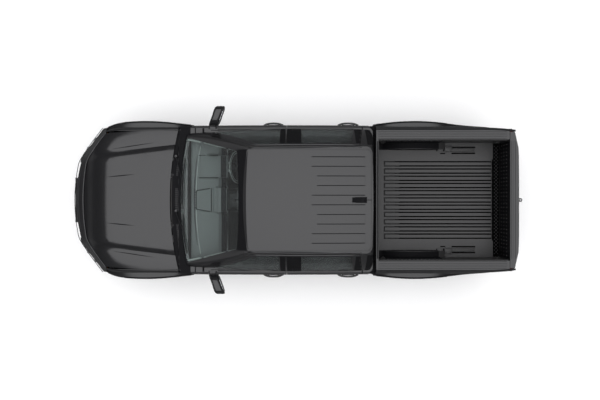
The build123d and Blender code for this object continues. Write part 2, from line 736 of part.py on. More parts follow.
def bed_box():
    """Floor, front wall and wheelhouses of the load bed, under the liner."""
    half = RAIL_INNER_Y
    floor = block(S_BED_FRONT, S_BED_REAR, -half, half, BED_UNDERSIDE_Z, BED_FLOOR_Z)
    front = block(S_BED_FRONT, S_BED_FRONT + 26, -half, half, BED_UNDERSIDE_Z, RAIL_Z - 6)
    box = floor + front
    for side in (1, -1):
        hump = across(WHEELHOUSE_RADIUS, S_REAR_AXLE, AXLE_Z, side * WHEELHOUSE_Y, side * half)
        hump &= block(S_BED_FRONT, S_BED_REAR, -BIG, BIG, BED_UNDERSIDE_Z, BIG / 2)
        box += hump
    for side in (1, -1):
        room = across(WHEELHOUSE_RADIUS - SKIN, S_REAR_AXLE, AXLE_Z,
                      side * (WHEELHOUSE_Y + SKIN), side * (half + 5))
        box -= room
    return box


def rib(y, s0, s1, z):
    """Raised rib of the liner with sloping sides."""
    side = RIB_FOOT_HALF - RIB_TOP_HALF
    levels = []
    for half, end, height in ((RIB_FOOT_HALF, 0, z), (RIB_TOP_HALF, side, z + RIB_HEIGHT)):
        x0, x1 = st(s0 + end), st(s1 - end)
        outline = Polyline((x0, y - half), (x1, y - half), (x1, y + half), (x0, y + half), close=True)
        levels.append(Pos(0, 0, height) * make_face(outline))
    return loft(levels, ruled=True)


def bed_liner():
    """Ribbed plastic liner over the floor, the wheelhouses and the walls."""
    t = LINER_THICKNESS
    half = RAIL_INNER_Y - 1
    s0 = S_BED_FRONT + 27
    s1 = S_BED_REAR - 4
    z0 = BED_FLOOR_Z
    top = RAIL_Z - 40
    tray = block(s0, s1, -half, half, z0, top)
    tray -= block(s0 + t, S_BED_REAR, t - half, half - t, z0 + t, top + 1)
    for side in (1, -1):
        hump = across(WHEELHOUSE_RADIUS + t, S_REAR_AXLE, AXLE_Z,
                      side * (WHEELHOUSE_Y - t), side * (half - 1))
        tray += hump & block(s0, s1, -half, half, z0, top)
        tray -= across(WHEELHOUSE_RADIUS + 0.2, S_REAR_AXLE, AXLE_Z,
                       side * (WHEELHOUSE_Y - 0.2), side * (half + 40))
    for i in range(RIB_COUNT):
        tray += rib((i - RIB_COUNT // 2) * RIB_PITCH, s0 + 110, S_BED_REAR - 90, z0 + t)
    return tray


def tailgate():
    """Tailgate with a lip along its top edge, hinged at its lower rear edge."""
    s_in = S_BED_REAR + PANEL_GAP
    bottom = BED_FLOOR_Z - 52
    outline = [(s_in, bottom), (s_in + TAILGATE_THICKNESS, bottom), (s_in + TAILGATE_THICKNESS + 4, 1080),
               (s_in + TAILGATE_THICKNESS + 6, RAIL_Z - 90), (BODY_LENGTH - 2, RAIL_Z - 22),
               (BODY_LENGTH - 10, RAIL_Z), (s_in, RAIL_Z)]
    leaf = side_prism(outline, -TAILGATE_HALF, TAILGATE_HALF) & tailgate_bow(TAILGATE_HALF)
    handle_recess = block(s_in + 44, BODY_LENGTH + 50, -150, 150, 1120, 1190)
    return leaf - handle_recess


def tailgate_bow(half):
    """Plan limit that gives the tailgate's rear face its slight curve."""
    corner = st(BODY_LENGTH - TAILGATE_BOW)
    front = st(S_BED_REAR - 100)
    bend = (st(BODY_LENGTH - TAILGATE_BEND), half - 190)
    bend_right = (bend[0], -bend[1])
    edges = [
        ThreePointArc(bend_right, (st(BODY_LENGTH), 0), bend),
        Line(bend, (corner, half)),
        Line((corner, half), (front, half)),
        Line((front, half), (front, -half)),
        Line((front, -half), (corner, -half)),
        Line((corner, -half), bend_right),
    ]
    return extrude(Pos(0, 0, 400) * make_face(edges), amount=1200)


def rear_bumper():
    """Step bumper under the tailgate."""
    half = DOOR_Y - 70
    rear, middle, front = BODY_LENGTH - 70, BODY_LENGTH - 190, BODY_LENGTH - 250
    side = [(st(rear), half), (st(front), half + 24), (st(front), half - 60), (st(middle), half - 60)]
    whole = side + [(x, -y) for x, y in reversed(side)]
    edges = [Line(a, b) for a, b in zip(whole, whole[1:])]
    edges.append(ThreePointArc(whole[-1], (st(BODY_LENGTH - 6), 0), whole[0]))
    body = extrude(Pos(0, 0, BUMPER_BOTTOM_Z) * make_face(edges), amount=BUMPER_TOP_Z - BUMPER_BOTTOM_Z)
    hollow = block(BODY_LENGTH - 260, BODY_LENGTH - 92, 40 - half, half - 40,
                   BUMPER_BOTTOM_Z - 20, BUMPER_TOP_Z - 30)
    return body - hollow


def tow_bar():
    """Cross tube and swan neck with a 50 mm ball, and two eyes for safety chains."""
    s_ball = BODY_LENGTH + TOW_BALL_REACH - BALL_RADIUS
    s_tube = BODY_LENGTH - 172
    tube = block(BODY_LENGTH - 250, BODY_LENGTH - 170, -FRAME_OUTER_Y, FRAME_OUTER_Y, 450, TOW_TUBE_TOP_Z)
    neck_points = [(s_tube, 0, 482), (s_ball - 60, 0, 445), (s_ball, 0, 470), (s_ball, 0, BALL_Z - 15)]
    neck = tube_path(neck_points, 17, 26)
    ball = Pos(st(s_ball), 0, BALL_Z) * Sphere(BALL_RADIUS)
    plate = block(s_tube, BODY_LENGTH - 100, -75, 75, 478, 490)
    for side in (1, -1):
        plate -= Pos(st(BODY_LENGTH - 118), side * CHAIN_EYE_Y, 484) * Cylinder(CHAIN_EYE_RADIUS, 40)
    return tube + neck + ball + plate


# ---------------------------------------------------------------- chassis

def frame_rails():
    """Left and right rails of the ladder frame, which rise over the axles."""
    s_up = S_CAB_REAR + 35
    low_z = BED_UNDERSIDE_Z - RAIL_HEIGHT
    top = [(S_FRAME_FRONT, FRAME_FRONT_TOP_Z), (1060, FRAME_FRONT_TOP_Z), (1300, CAB_UNDERSIDE_Z),
           (s_up, CAB_UNDERSIDE_Z), (s_up + 240, BED_UNDERSIDE_Z), (S_FRAME_END, BED_UNDERSIDE_Z)]
    low = [(S_FRAME_END, low_z), (s_up + 280, low_z), (s_up - 40, CAB_UNDERSIDE_Z - RAIL_HEIGHT),
           (1380, CAB_UNDERSIDE_Z - RAIL_HEIGHT), (1120, FRAME_FRONT_LOW_Z),
           (S_FRAME_FRONT, FRAME_FRONT_LOW_Z)]
    rail = side_prism(top + low, FRAME_OUTER_Y - FRAME_RAIL_WIDTH, FRAME_OUTER_Y)
    hanger = block(S_FRAME_END - 50, S_FRAME_END, 380, FRAME_OUTER_Y, TOW_TUBE_TOP_Z, low_z)
    return both(rail + hanger)


def frame_cross_members():
    """Six cross members between the rails, as (station, height, depth)."""
    half = FRAME_OUTER_Y - FRAME_RAIL_WIDTH
    places = [(340, 620, 60), (1500, 440, 50), (2450, 440, 50), (S_CAB_REAR - 160, 504, 46),
              (S_REAR_AXLE + 40, 736, 60), (BODY_LENGTH - 480, 736, 60)]
    return Compound([block(s, s + 90, -half, half, z - deep / 2, z + deep / 2) for s, z, deep in places])


def wheel_plane(side, s):
    """Frame of a wheel: local Z points outwards along the axle."""
    return Plane(origin=(st(s), side * WHEEL_Y, AXLE_Z), x_dir=(1, 0, 0), z_dir=(0, side, 0))


def tyre():
    """Tyre about its own Z axis."""
    w = TYRE_WIDTH / 2
    r = TYRE_RADIUS
    h = r - RIM_RADIUS
    edges = [
        Line((RIM_RADIUS, -w * 0.82), (RIM_RADIUS + 16, -w * 0.82)),
        Spline((RIM_RADIUS + 16, -w * 0.82), (RIM_RADIUS + h * 0.5, -w), (r - 22, -w * 0.93)),
        Spline((r - 22, -w * 0.93), (r - 7, -w * 0.87), (r, -w * 0.74)),
        Line((r, -w * 0.74), (r, w * 0.74)),
        Spline((r, w * 0.74), (r - 7, w * 0.87), (r - 22, w * 0.93)),
        Spline((r - 22, w * 0.93), (RIM_RADIUS + h * 0.5, w), (RIM_RADIUS + 16, w * 0.82)),
        Line((RIM_RADIUS + 16, w * 0.82), (RIM_RADIUS, w * 0.82)),
        Line((RIM_RADIUS, w * 0.82), (RIM_RADIUS, -w * 0.82)),
    ]
    face = Plane.XZ * make_face(edges)
    return revolve(face, Axis.Z, 360)


def rim():
    """Six-spoke alloy wheel about its own Z axis, outer face towards +Z."""
    bead = TYRE_WIDTH / 2 * 0.82
    r = RIM_RADIUS
    profile = [(r, -bead), (r + 13, -bead - 2), (r + 13, -bead - 9), (r - 3, -bead - 9), (r - 12, -bead + 6),
               (r - 26, -20), (r - 26, 50), (120, 40), (86, HUB_FACE), (0, HUB_FACE),
               (0, 72), (36, 72), (40, 62),
               (86, 62), (120, 74), (r - 34, 92), (r - 14, bead - 6), (r - 8, bead + 9), (r + 13, bead + 9),
               (r + 13, bead + 2), (r, bead)]
    wheel = revolve(Plane.XZ * make_face(Polyline(*profile, close=True)), Axis.Z, 360)
    window = spoke_window(r - 39)
    for i in range(SPOKES):
        wheel -= Rot(0, 0, 360 / SPOKES * i) * window
        angle = 2 * pi * i / SPOKES
        wheel -= Pos(BOLT_CIRCLE_RADIUS * cos(angle), BOLT_CIRCLE_RADIUS * sin(angle), 62) * Cylinder(11, 16)
    return wheel


def spoke_window(outer_r):
    """Opening between two neighbouring spokes, cut along the axle."""
    half_angle = pi / SPOKES
    corners = []
    for along, spoke_half in ((100, 30), (outer_r - 4, 26)):
        x = along * cos(half_angle) + spoke_half * sin(half_angle)
        y = along * sin(half_angle) - spoke_half * cos(half_angle)
        corners.append((x, y))
    (x0, y0), (x1, y1) = corners
    face = make_face([
        Line((x0, -y0), (x1, -y1)),
        ThreePointArc((x1, -y1), (outer_r, 0), (x1, y1)),
        Line((x1, y1), (x0, y0)),
        Line((x0, y0), (x0, -y0)),
    ])
    return extrude(fillet(face.vertices(), 11), amount=150)


def knuckle(side):
    """Steering knuckle with its stub axle and ball studs."""
    y_kp = KINGPIN_Y
    body = block(S_FRONT_AXLE - 34, S_FRONT_AXLE + 34, y_kp - 26, y_kp + 30, AXLE_Z - 130, AXLE_Z + 130)
    flange = across(62, S_FRONT_AXLE, AXLE_Z, y_kp, y_kp + 46)
    stub = across(STUB_RADIUS, S_FRONT_AXLE, AXLE_Z, y_kp, WHEEL_Y + HUB_FACE - 0.5)
    lower = Pos(st(S_FRONT_AXLE), y_kp, AXLE_Z - 145) * Cylinder(BALL_STUD_RADIUS, 40)
    upper = Pos(st(S_FRONT_AXLE), y_kp, AXLE_Z + 145) * Cylinder(BALL_STUD_RADIUS, 40)
    whole = body + flange + stub + lower + upper
    return whole if side > 0 else mirrored(whole)


def suspension_arm(z, spread, half_thick):
    """One A-shaped arm on the left, from the frame to the knuckle's ball stud."""
    y_in = FRAME_OUTER_Y
    pts = [(S_FRONT_AXLE - 20, KINGPIN_Y + 24), (S_FRONT_AXLE + 20, KINGPIN_Y + 24),
           (S_FRONT_AXLE + spread, y_in), (S_FRONT_AXLE + spread - 62, y_in),
           (S_FRONT_AXLE, KINGPIN_Y - 92), (S_FRONT_AXLE - spread + 62, y_in), (S_FRONT_AXLE - spread, y_in)]
    arm = plan_prism(pts, z - half_thick, z + half_thick)
    arm -= Pos(st(S_FRONT_AXLE), KINGPIN_Y, z) * Cylinder(BALL_STUD_RADIUS + 0.5, 60)
    return arm


def front_suspension():
    lower_z = AXLE_Z - ARM_OFFSET_Z
    upper_z = AXLE_Z + ARM_OFFSET_Z
    lower = suspension_arm(lower_z, 190, 12)
    upper = suspension_arm(upper_z, 120, 10)
    cradle = block(S_FRONT_AXLE - 195, S_FRONT_AXLE + 195, 300, FRAME_OUTER_Y, lower_z - 18, lower_z + 34)
    cradle += block(S_FRONT_AXLE - 150, S_FRONT_AXLE - 90, 330, FRAME_OUTER_Y - 4, lower_z + 34, 530)
    cradle += block(S_FRONT_AXLE + 90, S_FRONT_AXLE + 150, 330, FRAME_OUTER_Y - 4, lower_z + 34, 530)
    bridge = block(S_FRONT_AXLE - 130, S_FRONT_AXLE - 50, -301, 301, lower_z - 18, lower_z + 30)
    bridge += block(S_FRONT_AXLE + 50, S_FRONT_AXLE + 130, -301, 301, lower_z - 18, lower_z + 30)
    cradle = cradle + mirrored(cradle) + bridge
    cradle += across(26, S_FRONT_AXLE - 165, lower_z + 60, -330, 330)
    arms = [*both(lower).solids(), *both(upper).solids()]
    return {"subframe": cradle, "suspension_arms": Compound(arms)}


def rear_axle():
    tube = across(44, S_REAR_AXLE, AXLE_Z, -(WHEEL_Y - 60), WHEEL_Y - 60)
    pumpkin = Pos(st(S_REAR_AXLE), 0, AXLE_Z) * Sphere(150)
    pumpkin &= block(S_REAR_AXLE - 200, S_REAR_AXLE + 200, -120, 120, 0, BIG)
    whole = tube + pumpkin
    for side in (1, -1):
        whole += across(80, S_REAR_AXLE, AXLE_Z, side * (WHEEL_Y - 80), side * (WHEEL_Y - 40))
        whole += across(STUB_RADIUS, S_REAR_AXLE, AXLE_Z,
                        side * (WHEEL_Y - 60), side * (WHEEL_Y + HUB_FACE - 0.5))
    nose = Pos(st(S_REAR_AXLE - 190), 0, AXLE_Z) * Rot(0, 90, 0) * Cylinder(46, 120)
    return whole + nose


def leaf_springs():
    """Left and right leaf packs on the axle, hung from the frame."""
    y0, y1 = FRAME_OUTER_Y, FRAME_OUTER_Y + 92
    z = AXLE_Z + 44
    half = 500
    arc = [(S_REAR_AXLE - half, z + 100), (S_REAR_AXLE, z), (S_REAR_AXLE + half, z + 100)]
    face = make_face([
        ThreePointArc(*[(st(s), h) for s, h in arc]),
        Line((st(arc[2][0]), arc[2][1]), (st(arc[2][0]), arc[2][1] + 32)),
        ThreePointArc(*[(st(s), h + 32) for s, h in reversed(arc)]),
        Line((st(arc[0][0]), arc[0][1] + 32), (st(arc[0][0]), arc[0][1])),
    ])
    spring = extrude(Plane.XZ.offset(-(y1 - 64)) * face, amount=64, dir=(0, 1, 0))
    spring += block(S_REAR_AXLE - half - 10, S_REAR_AXLE - half + 30, y0, y1, 470, z + 136)
    spring += block(S_REAR_AXLE + half - 30, S_REAR_AXLE + half + 10, y0, y1, z + 92, 700)
    return both(spring)


def engine():
    """Engine and gearbox as one plain block."""
    return block(520, 1290, -270, 270, 475, 985) + block(1289, GEARBOX_END, -120, 120, 475, 630)


def driveshaft(neighbours):
    """Propeller shaft from the gearbox down to the rear axle's nose."""
    shaft = tube_path([(GEARBOX_END - 10, 0, 545), (S_REAR_AXLE - 240, 0, AXLE_Z + 4)], 36, 0)
    for neighbour in neighbours:
        shaft -= neighbour
    return shaft


def fuel_tank():
    tank = block(2560, 3360, 462, 688, 330, 520)
    return fillet(tank.edges().filter_by(Axis.X), 40)


def exhaust():
    """Pipe and silencer along the right side, ending behind the rear wheel."""
    y = -275
    pipe = tube_path([(1450, y, 380), (3500, y, 380), (3720, y, 520), (S_REAR_AXLE + 120, y, 540),
                      (S_REAR_AXLE + 430, y - 110, 485), (BODY_LENGTH - 330, -560, 480)], 30, 60)
    can = Pos(st(3000), y, 380) * Rot(0, 90, 0) * Cylinder(78, 520)
    return pipe + can


def wheel_liners():
    """Arched liners over the front wheels."""
    arch = across(ARCH_RADIUS + 52, S_FRONT_AXLE, AXLE_Z, 520, 858)
    arch -= across(ARCH_RADIUS + 46, S_FRONT_AXLE, AXLE_Z, 400, 1000)
    arch &= block(S_FRONT_AXLE - 600, S_FRONT_AXLE + 600, 0, BIG / 2, 470, BIG / 2)
    return both(arch)


# ---------------------------------------------------------------- cabin

def dashboard():
    profile = [(1470, 800), (1470, 1130), (1560, 1150), (1800, 1120), (1880, 1060),
               (1900, 960), (1830, 820), (1700, 770)]
    dash = side_prism(profile, -730, 730, 20)
    binnacle = block(1640, 1915, -530, -270, 1090, 1165)
    binnacle = fillet(binnacle.edges().filter_by(Axis.Y), 24)
    screen = block(1790, 1900, -145, 145, 1000, 1160)
    return dash + binnacle + screen


def steering_wheel():
    tilt = 0.45
    plane = Plane(origin=(st(2010), -400, 985), x_dir=(0, 1, 0), z_dir=(-cos(tilt), 0, sin(tilt)))
    ring = plane * Torus(182, 15)
    boss = plane * Cylinder(60, 44)
    spokes = plane * Box(350, 44, 16) + plane * Pos(0, -90, 0) * Box(50, 180, 16)
    column = plane * Pos(0, 0, -90) * Cylinder(28, 170)
    return ring + boss + spokes + column


def seat(y, width, s_front, s_back, back_top, rests):
    """Cushion, backrest and headrests of one seat."""
    z = SEAT_Z
    cushion = block(s_front, s_back, y - width / 2, y + width / 2, z - 180, z)
    cushion = fillet(cushion.edges().filter_by(Axis.Y), 40)
    back = side_prism([(s_back - 60, z - 120), (s_back + 50, z - 120), (s_back + 190, back_top),
                       (s_back + 100, back_top)], y - width / 2, y + width / 2)
    whole = cushion + back
    for rest in rests:
        whole += block(s_back + 104, s_back + 190, rest - 130, rest + 130, back_top - 2, back_top + 180)
    return whole


def cabin():
    seats = seat(SEAT_Y, SEAT_WIDTH, 2060, 2560, 1310, [SEAT_Y])
    base = block(2120, 2520, SEAT_Y - 170, SEAT_Y + 170, CAB_FLOOR_Z, SEAT_Z - 178)
    bench = seat(0, BENCH_WIDTH, 2960, 3350, 1290, [-400, 0, 400])
    bench += block(3030, 3330, -560, 560, CAB_FLOOR_Z, SEAT_Z - 178)
    bench -= block(2900, 3600, -(TUNNEL_HALF + 4), TUNNEL_HALF + 4, 0, CAB_FLOOR_Z + TUNNEL_HEIGHT + 4)
    console = block(1905, 2900, -100, 100, CAB_FLOOR_Z + TUNNEL_HEIGHT, 870)
    console = fillet(console.edges().filter_by(Axis.X), 30)
    dash = dashboard()
    return {"dashboard": dash, "steering_wheel": steering_wheel() - dash, "front_seats": both(seats + base),
            "rear_bench": bench, "centre_console": console}


def cowl():
    """Black panel between the hood's rear edge and the windscreen."""
    face = make_face([
        ThreePointArc((st(1326), -790), (st(1230), 0), (st(1326), 790)),
        Line((st(1326), 790), (st(S_COWL + 10), 790)),
        Line((st(S_COWL + 10), 790), (st(S_COWL + 10), -790)),
        Line((st(S_COWL + 10), -790), (st(1326), -790)),
    ])
    return extrude(Pos(0, 0, 1120) * face, amount=38) - cab_lower(-0.2, SILL_Z)


def antenna_fin():
    pts = [(3330, 1840), (3500, 1840), (3490, 1895), (3450, 1898)]
    fin = side_prism(pts, -28, 28, 8)
    return fin - roof_tool(3)


def build():
    nodes = cab_and_doors()
    nodes.update(front_end())
    nodes["hood"] = hood()
    nodes["front_fenders"] = both(fender() - nodes["cab_shell"])
    nodes["cowl"] = cowl()
    head = mirror_head() - nodes["front_door_left"]
    nodes["door_mirror_left"] = head
    nodes["door_mirror_right"] = mirrored(head)
    side, lamp = bedside()
    nodes["bed_sides"] = both(side)
    nodes["tail_lamps"] = both(lamp)
    nodes["bed_box"] = bed_box()
    nodes["bed_liner"] = bed_liner()
    nodes["tailgate"] = tailgate()
    nodes["rear_bumper"] = rear_bumper()
    nodes["tow_bar"] = tow_bar()
    nodes["frame_rails"] = frame_rails()
    nodes["frame_cross_members"] = frame_cross_members()
    wheel_tyre, wheel_rim = tyre(), rim()
    for s, where in ((S_FRONT_AXLE, "front"), (S_REAR_AXLE, "rear")):
        for side, word in ((1, "left"), (-1, "right")):
            plane = wheel_plane(side, s)
            nodes[f"{where}_tyre_{word}"] = plane * wheel_tyre
            nodes[f"{where}_rim_{word}"] = plane * wheel_rim
    nodes["knuckle_left"] = knuckle(1)
    nodes["knuckle_right"] = knuckle(-1)
    nodes.update(front_suspension())
    nodes["rear_axle"] = rear_axle()
    nodes["leaf_springs"] = leaf_springs()
    nodes["engine"] = engine()
    nodes["driveshaft"] = driveshaft([nodes["engine"], nodes["rear_axle"]])
    nodes["fuel_tank"] = fuel_tank()
    nodes["exhaust"] = exhaust()
    nodes["wheel_liners"] = wheel_liners()
    nodes.update(cabin())
    nodes["antenna_fin"] = antenna_fin()
    return nodes


if __name__ == "__main__":
    os.makedirs("parts", exist_ok=True)
    for name, shape in build().items():
        solids = shape.solids()
        export_step(solids[0] if len(solids) == 1 else Compound(solids), f"parts/{name}.step")
        print(name, len(solids), round(shape.volume / 1e6, 2), "litres", flush=True)
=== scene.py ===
from math import cos, pi, radians, sin, sqrt

import bmesh
import bpy
from mathutils import Matrix, Vector
from mathutils.bvhtree import BVHTree


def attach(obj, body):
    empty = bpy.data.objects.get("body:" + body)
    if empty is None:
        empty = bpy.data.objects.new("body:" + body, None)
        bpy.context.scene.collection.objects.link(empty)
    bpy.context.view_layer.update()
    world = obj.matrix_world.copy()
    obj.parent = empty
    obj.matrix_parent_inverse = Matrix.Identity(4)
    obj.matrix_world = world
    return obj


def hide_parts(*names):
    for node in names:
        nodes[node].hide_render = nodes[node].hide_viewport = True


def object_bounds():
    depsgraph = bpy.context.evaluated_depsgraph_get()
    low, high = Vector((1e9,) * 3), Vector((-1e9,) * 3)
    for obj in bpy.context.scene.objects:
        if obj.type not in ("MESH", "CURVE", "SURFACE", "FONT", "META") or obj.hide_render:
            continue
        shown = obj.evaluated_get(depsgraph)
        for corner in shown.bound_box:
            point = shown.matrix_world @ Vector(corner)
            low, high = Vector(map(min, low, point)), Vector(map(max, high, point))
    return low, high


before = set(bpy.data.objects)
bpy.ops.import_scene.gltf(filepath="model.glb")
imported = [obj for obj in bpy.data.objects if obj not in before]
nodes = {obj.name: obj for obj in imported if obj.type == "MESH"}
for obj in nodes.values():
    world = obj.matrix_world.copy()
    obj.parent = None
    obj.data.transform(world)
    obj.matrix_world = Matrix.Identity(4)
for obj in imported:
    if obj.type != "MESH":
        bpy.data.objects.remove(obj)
cadBox = [list(corner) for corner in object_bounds()]
chassis = "chassis"
sides = {"left": 1, "right": -1}
handedBodies = ("front_door", "rear_door", "steering_knuckle")
print("frame loaded:", len(nodes), "nodes")


# selecting and finishing, as a hand would

def deselectAll():
    if bpy.context.object and bpy.context.object.mode != "OBJECT":
        bpy.ops.object.mode_set(mode="OBJECT")
    bpy.ops.object.select_all(action="DESELECT")


def activate(obj):
    deselectAll()
    obj.select_set(True)
    bpy.context.view_layer.objects.active = obj


def applyAll(obj):
    activate(obj)
    for modifier in list(obj.modifiers):
        bpy.ops.object.modifier_apply(modifier=modifier.name)


def freeze(obj):
    # the piece's place goes into its mesh
    activate(obj)
    bpy.ops.object.transform_apply(location=True, rotation=True, scale=True)
    return obj


def smooth(obj, angle=35):
    activate(obj)
    bpy.ops.object.shade_smooth_by_angle(angle=radians(angle))
    return obj


def editAll(obj):
    # edit mode, with the whole mesh selected
    activate(obj)
    bpy.ops.object.mode_set(mode="EDIT")
    bpy.ops.mesh.select_all(action="SELECT")


def editDone():
    bpy.ops.object.mode_set(mode="OBJECT")


def bevelEdges(obj, width, segments=2, angle=32):
    modifier = obj.modifiers.new("edge", "BEVEL")
    modifier.width = width
    modifier.segments = segments
    modifier.limit_method = "ANGLE"
    modifier.angle_limit = radians(angle)
    activate(obj)
    bpy.ops.object.modifier_apply(modifier=modifier.name)
    return obj


def joined(objs, name):
    deselectAll()
    for obj in objs:
        obj.select_set(True)
    bpy.context.view_layer.objects.active = objs[0]
    if len(objs) > 1:
        bpy.ops.object.join()
    obj = bpy.context.object
    obj.name = name
    obj.data.name = name
    return obj


def copied(obj, name, matrix=Matrix.Identity(4)):
    new = obj.copy()
    new.data = obj.data.copy()
    new.name = name
    new.data.name = name
    bpy.context.collection.objects.link(new)
    new.data.transform(matrix)
    if matrix.determinant() < 0:
        new.data.flip_normals()
    return new


def mirroredCopy(obj, name):
    return copied(obj, name, Matrix.Scale(-1, 4, (0, 1, 0)))


def roundedBox(name, low, high, bevel, segments=2):
    # a box between two corners, with every edge rounded
    deselectAll()
    size = [high[i] - low[i] for i in range(3)]
    centre = [(high[i] + low[i]) / 2 for i in range(3)]
    bpy.ops.mesh.primitive_cube_add(size=1, location=centre, scale=size)
    obj = bpy.context.object
    obj.name = name
    freeze(obj)
    editAll(obj)
    bpy.ops.mesh.bevel(offset=min(bevel, min(size) * 0.49), segments=segments, affect="EDGES")
    editDone()
    return smooth(obj)


def roundBar(name, start, end, radius, vertices=24, bevel=0):
    # a cylinder from one point to another
    deselectAll()
    a, b = Vector(start), Vector(end)
    bpy.ops.mesh.primitive_cylinder_add(vertices=vertices, radius=radius, depth=(b - a).length,
                                        location=(a + b) / 2)
    obj = bpy.context.object
    obj.name = name
    obj.rotation_euler = (b - a).to_track_quat("Z", "Y").to_euler()
    freeze(obj)
    if bevel:
        bevelEdges(obj, bevel)
    return smooth(obj)


def tube(name, points, radius, closed=False, resolution=3, smoothCurve=True):
    # a bent bar along points
    curve = bpy.data.curves.new(name, "CURVE")
    curve.dimensions = "3D"
    curve.bevel_depth = radius
    curve.bevel_resolution = resolution
    curve.resolution_u = 6
    curve.use_fill_caps = True
    spline = curve.splines.new("NURBS" if smoothCurve else "POLY")
    spline.points.add(len(points) - 1)
    for point, place in zip(spline.points, points):
        point.co = (*place, 1)
    spline.use_cyclic_u = closed
    if smoothCurve:
        spline.order_u = 3
        spline.use_endpoint_u = not closed
    obj = bpy.data.objects.new(name, curve)
    bpy.context.collection.objects.link(obj)
    activate(obj)
    bpy.ops.object.convert(target="MESH")
    return smooth(bpy.context.object)


def spunProfile(name, profile, steps=64):
    # a profile of (radius, height) points spun about Z
    deselectAll()
    bpy.ops.mesh.primitive_plane_add(size=1)
    obj = bpy.context.object
    obj.name = name
    mesh = bmesh.new()
    points = [mesh.verts.new((radius, 0, height)) for radius, height in profile]
    for first, second in zip(points, points[1:]):
        mesh.edges.new((first, second))
    mesh.to_mesh(obj.data)
    mesh.free()
    editAll(obj)
    bpy.ops.mesh.spin(steps=steps, angle=2 * pi, center=(0, 0, 0), axis=(0, 0, 1))
    bpy.ops.mesh.select_all(action="SELECT")
    bpy.ops.mesh.remove_doubles(threshold=0.00005)
    bpy.ops.mesh.normals_make_consistent(inside=False)
    editDone()
    return smooth(obj, 30)


def finishPiece(obj, finishName, body=chassis):
    # the piece's look, its body and its slot
    material = finishes[finishName]
    obj.data.materials.clear()
    obj.data.materials.append(material)
    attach(obj, body)
    return obj


# shader groups that several finishes share

def newGroup(name, inputs, outputs):
    # an empty shader group; an input that starts as a colour is a colour socket
    group = bpy.data.node_groups.new(name, "ShaderNodeTree")
    for title, value in inputs.items():
        kind = "NodeSocketColor" if isinstance(value, tuple) else "NodeSocketFloat"
        group.interface.new_socket(name=title, in_out="INPUT", socket_type=kind).default_value = value
    for title, kind in outputs.items():
        group.interface.new_socket(name=title, in_out="OUTPUT", socket_type=kind)
    return group, group.nodes.new("NodeGroupInput").outputs, group.nodes.new("NodeGroupOutput").inputs


def addNode(tree, kind, inputs=None, **settings):
    # each input is given as a plain value, or as the socket that feeds it
    node = tree.nodes.new(kind)
    for key, value in settings.items():
        setattr(node, key, value)
    for key, value in (inputs or {}).items():
        if isinstance(value, bpy.types.NodeSocket):
            tree.links.new(value, node.inputs[key])
        else:
            node.inputs[key].default_value = value
    return node


def mathNode(tree, operation, *values, clamp=False):
    inputs = dict(enumerate(values))
    return addNode(tree, "ShaderNodeMath", inputs, operation=operation, use_clamp=clamp).outputs[0]


def setInputs(node, values):
    for key, value in values.items():
        node.inputs[key].default_value = value


def buildWearGroup():
    # slow cloudy change of shade and roughness, with fine dust on faces that look up
    group, given, end = newGroup(
        "surfaceLife",
        {"Colour": (0.5, 0.5, 0.5, 1), "Dust Colour": (0.3, 0.28, 0.25, 1), "Scale": 3.0, "Cloud": 0.1,
         "Dust": 0.0, "Roughness": 0.4, "Roughness Change": 0.1},
        {"Colour": "NodeSocketColor", "Roughness": "NodeSocketFloat"})
    place = addNode(group, "ShaderNodeTexCoord").outputs["Object"]
    cloud = addNode(group, "ShaderNodeTexNoise",
                    {"Vector": place, "Scale": given["Scale"], "Detail": 6.0, "Roughness": 0.55})
    centred = mathNode(group, "SUBTRACT", cloud.outputs["Fac"], 0.5)
    shade = mathNode(group, "MULTIPLY_ADD", centred, given["Cloud"], 1.0)
    tinted = addNode(group, "ShaderNodeVectorMath", {0: given["Colour"], "Scale": shade}, operation="SCALE")
    facing = addNode(group, "ShaderNodeNewGeometry")
    split = addNode(group, "ShaderNodeSeparateXYZ", {0: facing.outputs["Normal"]})
    speck = addNode(group, "ShaderNodeTexNoise", {"Vector": place, "Scale": 60.0, "Detail": 8.0})
    upward = mathNode(group, "MULTIPLY", split.outputs["Z"], speck.outputs["Fac"], clamp=True)
    dust = mathNode(group, "MULTIPLY", upward, given["Dust"], clamp=True)
    mixed = addNode(group, "ShaderNodeMix",
                    {"Factor": dust, "A": tinted.outputs[0], "B": given["Dust Colour"]},
                    data_type="RGBA")
    rough = mathNode(group, "MULTIPLY_ADD", centred, given["Roughness Change"], given["Roughness"])
    group.links.new(mixed.outputs["Result"], end["Colour"])
    group.links.new(mathNode(group, "ADD", rough, dust, clamp=True), end["Roughness"])
    return group


def buildGrainGroup():
    # moulded grain: small rounded cells of uneven depth
    group, given, end = newGroup("mouldedGrain", {"Cell": 900.0}, {"Height": "NodeSocketFloat"})
    place = addNode(group, "ShaderNodeTexCoord").outputs["Object"]
    cells = addNode(group, "ShaderNodeTexVoronoi", {"Vector": place, "Scale": given["Cell"]},
                    feature="SMOOTH_F1")
    uneven = addNode(group, "ShaderNodeTexNoise", {"Vector": place, "Scale": 220.0, "Detail": 3.0})
    depth = mathNode(group, "ADD", cells.outputs["Distance"], uneven.outputs["Fac"])
    group.links.new(depth, end["Height"])
    return group


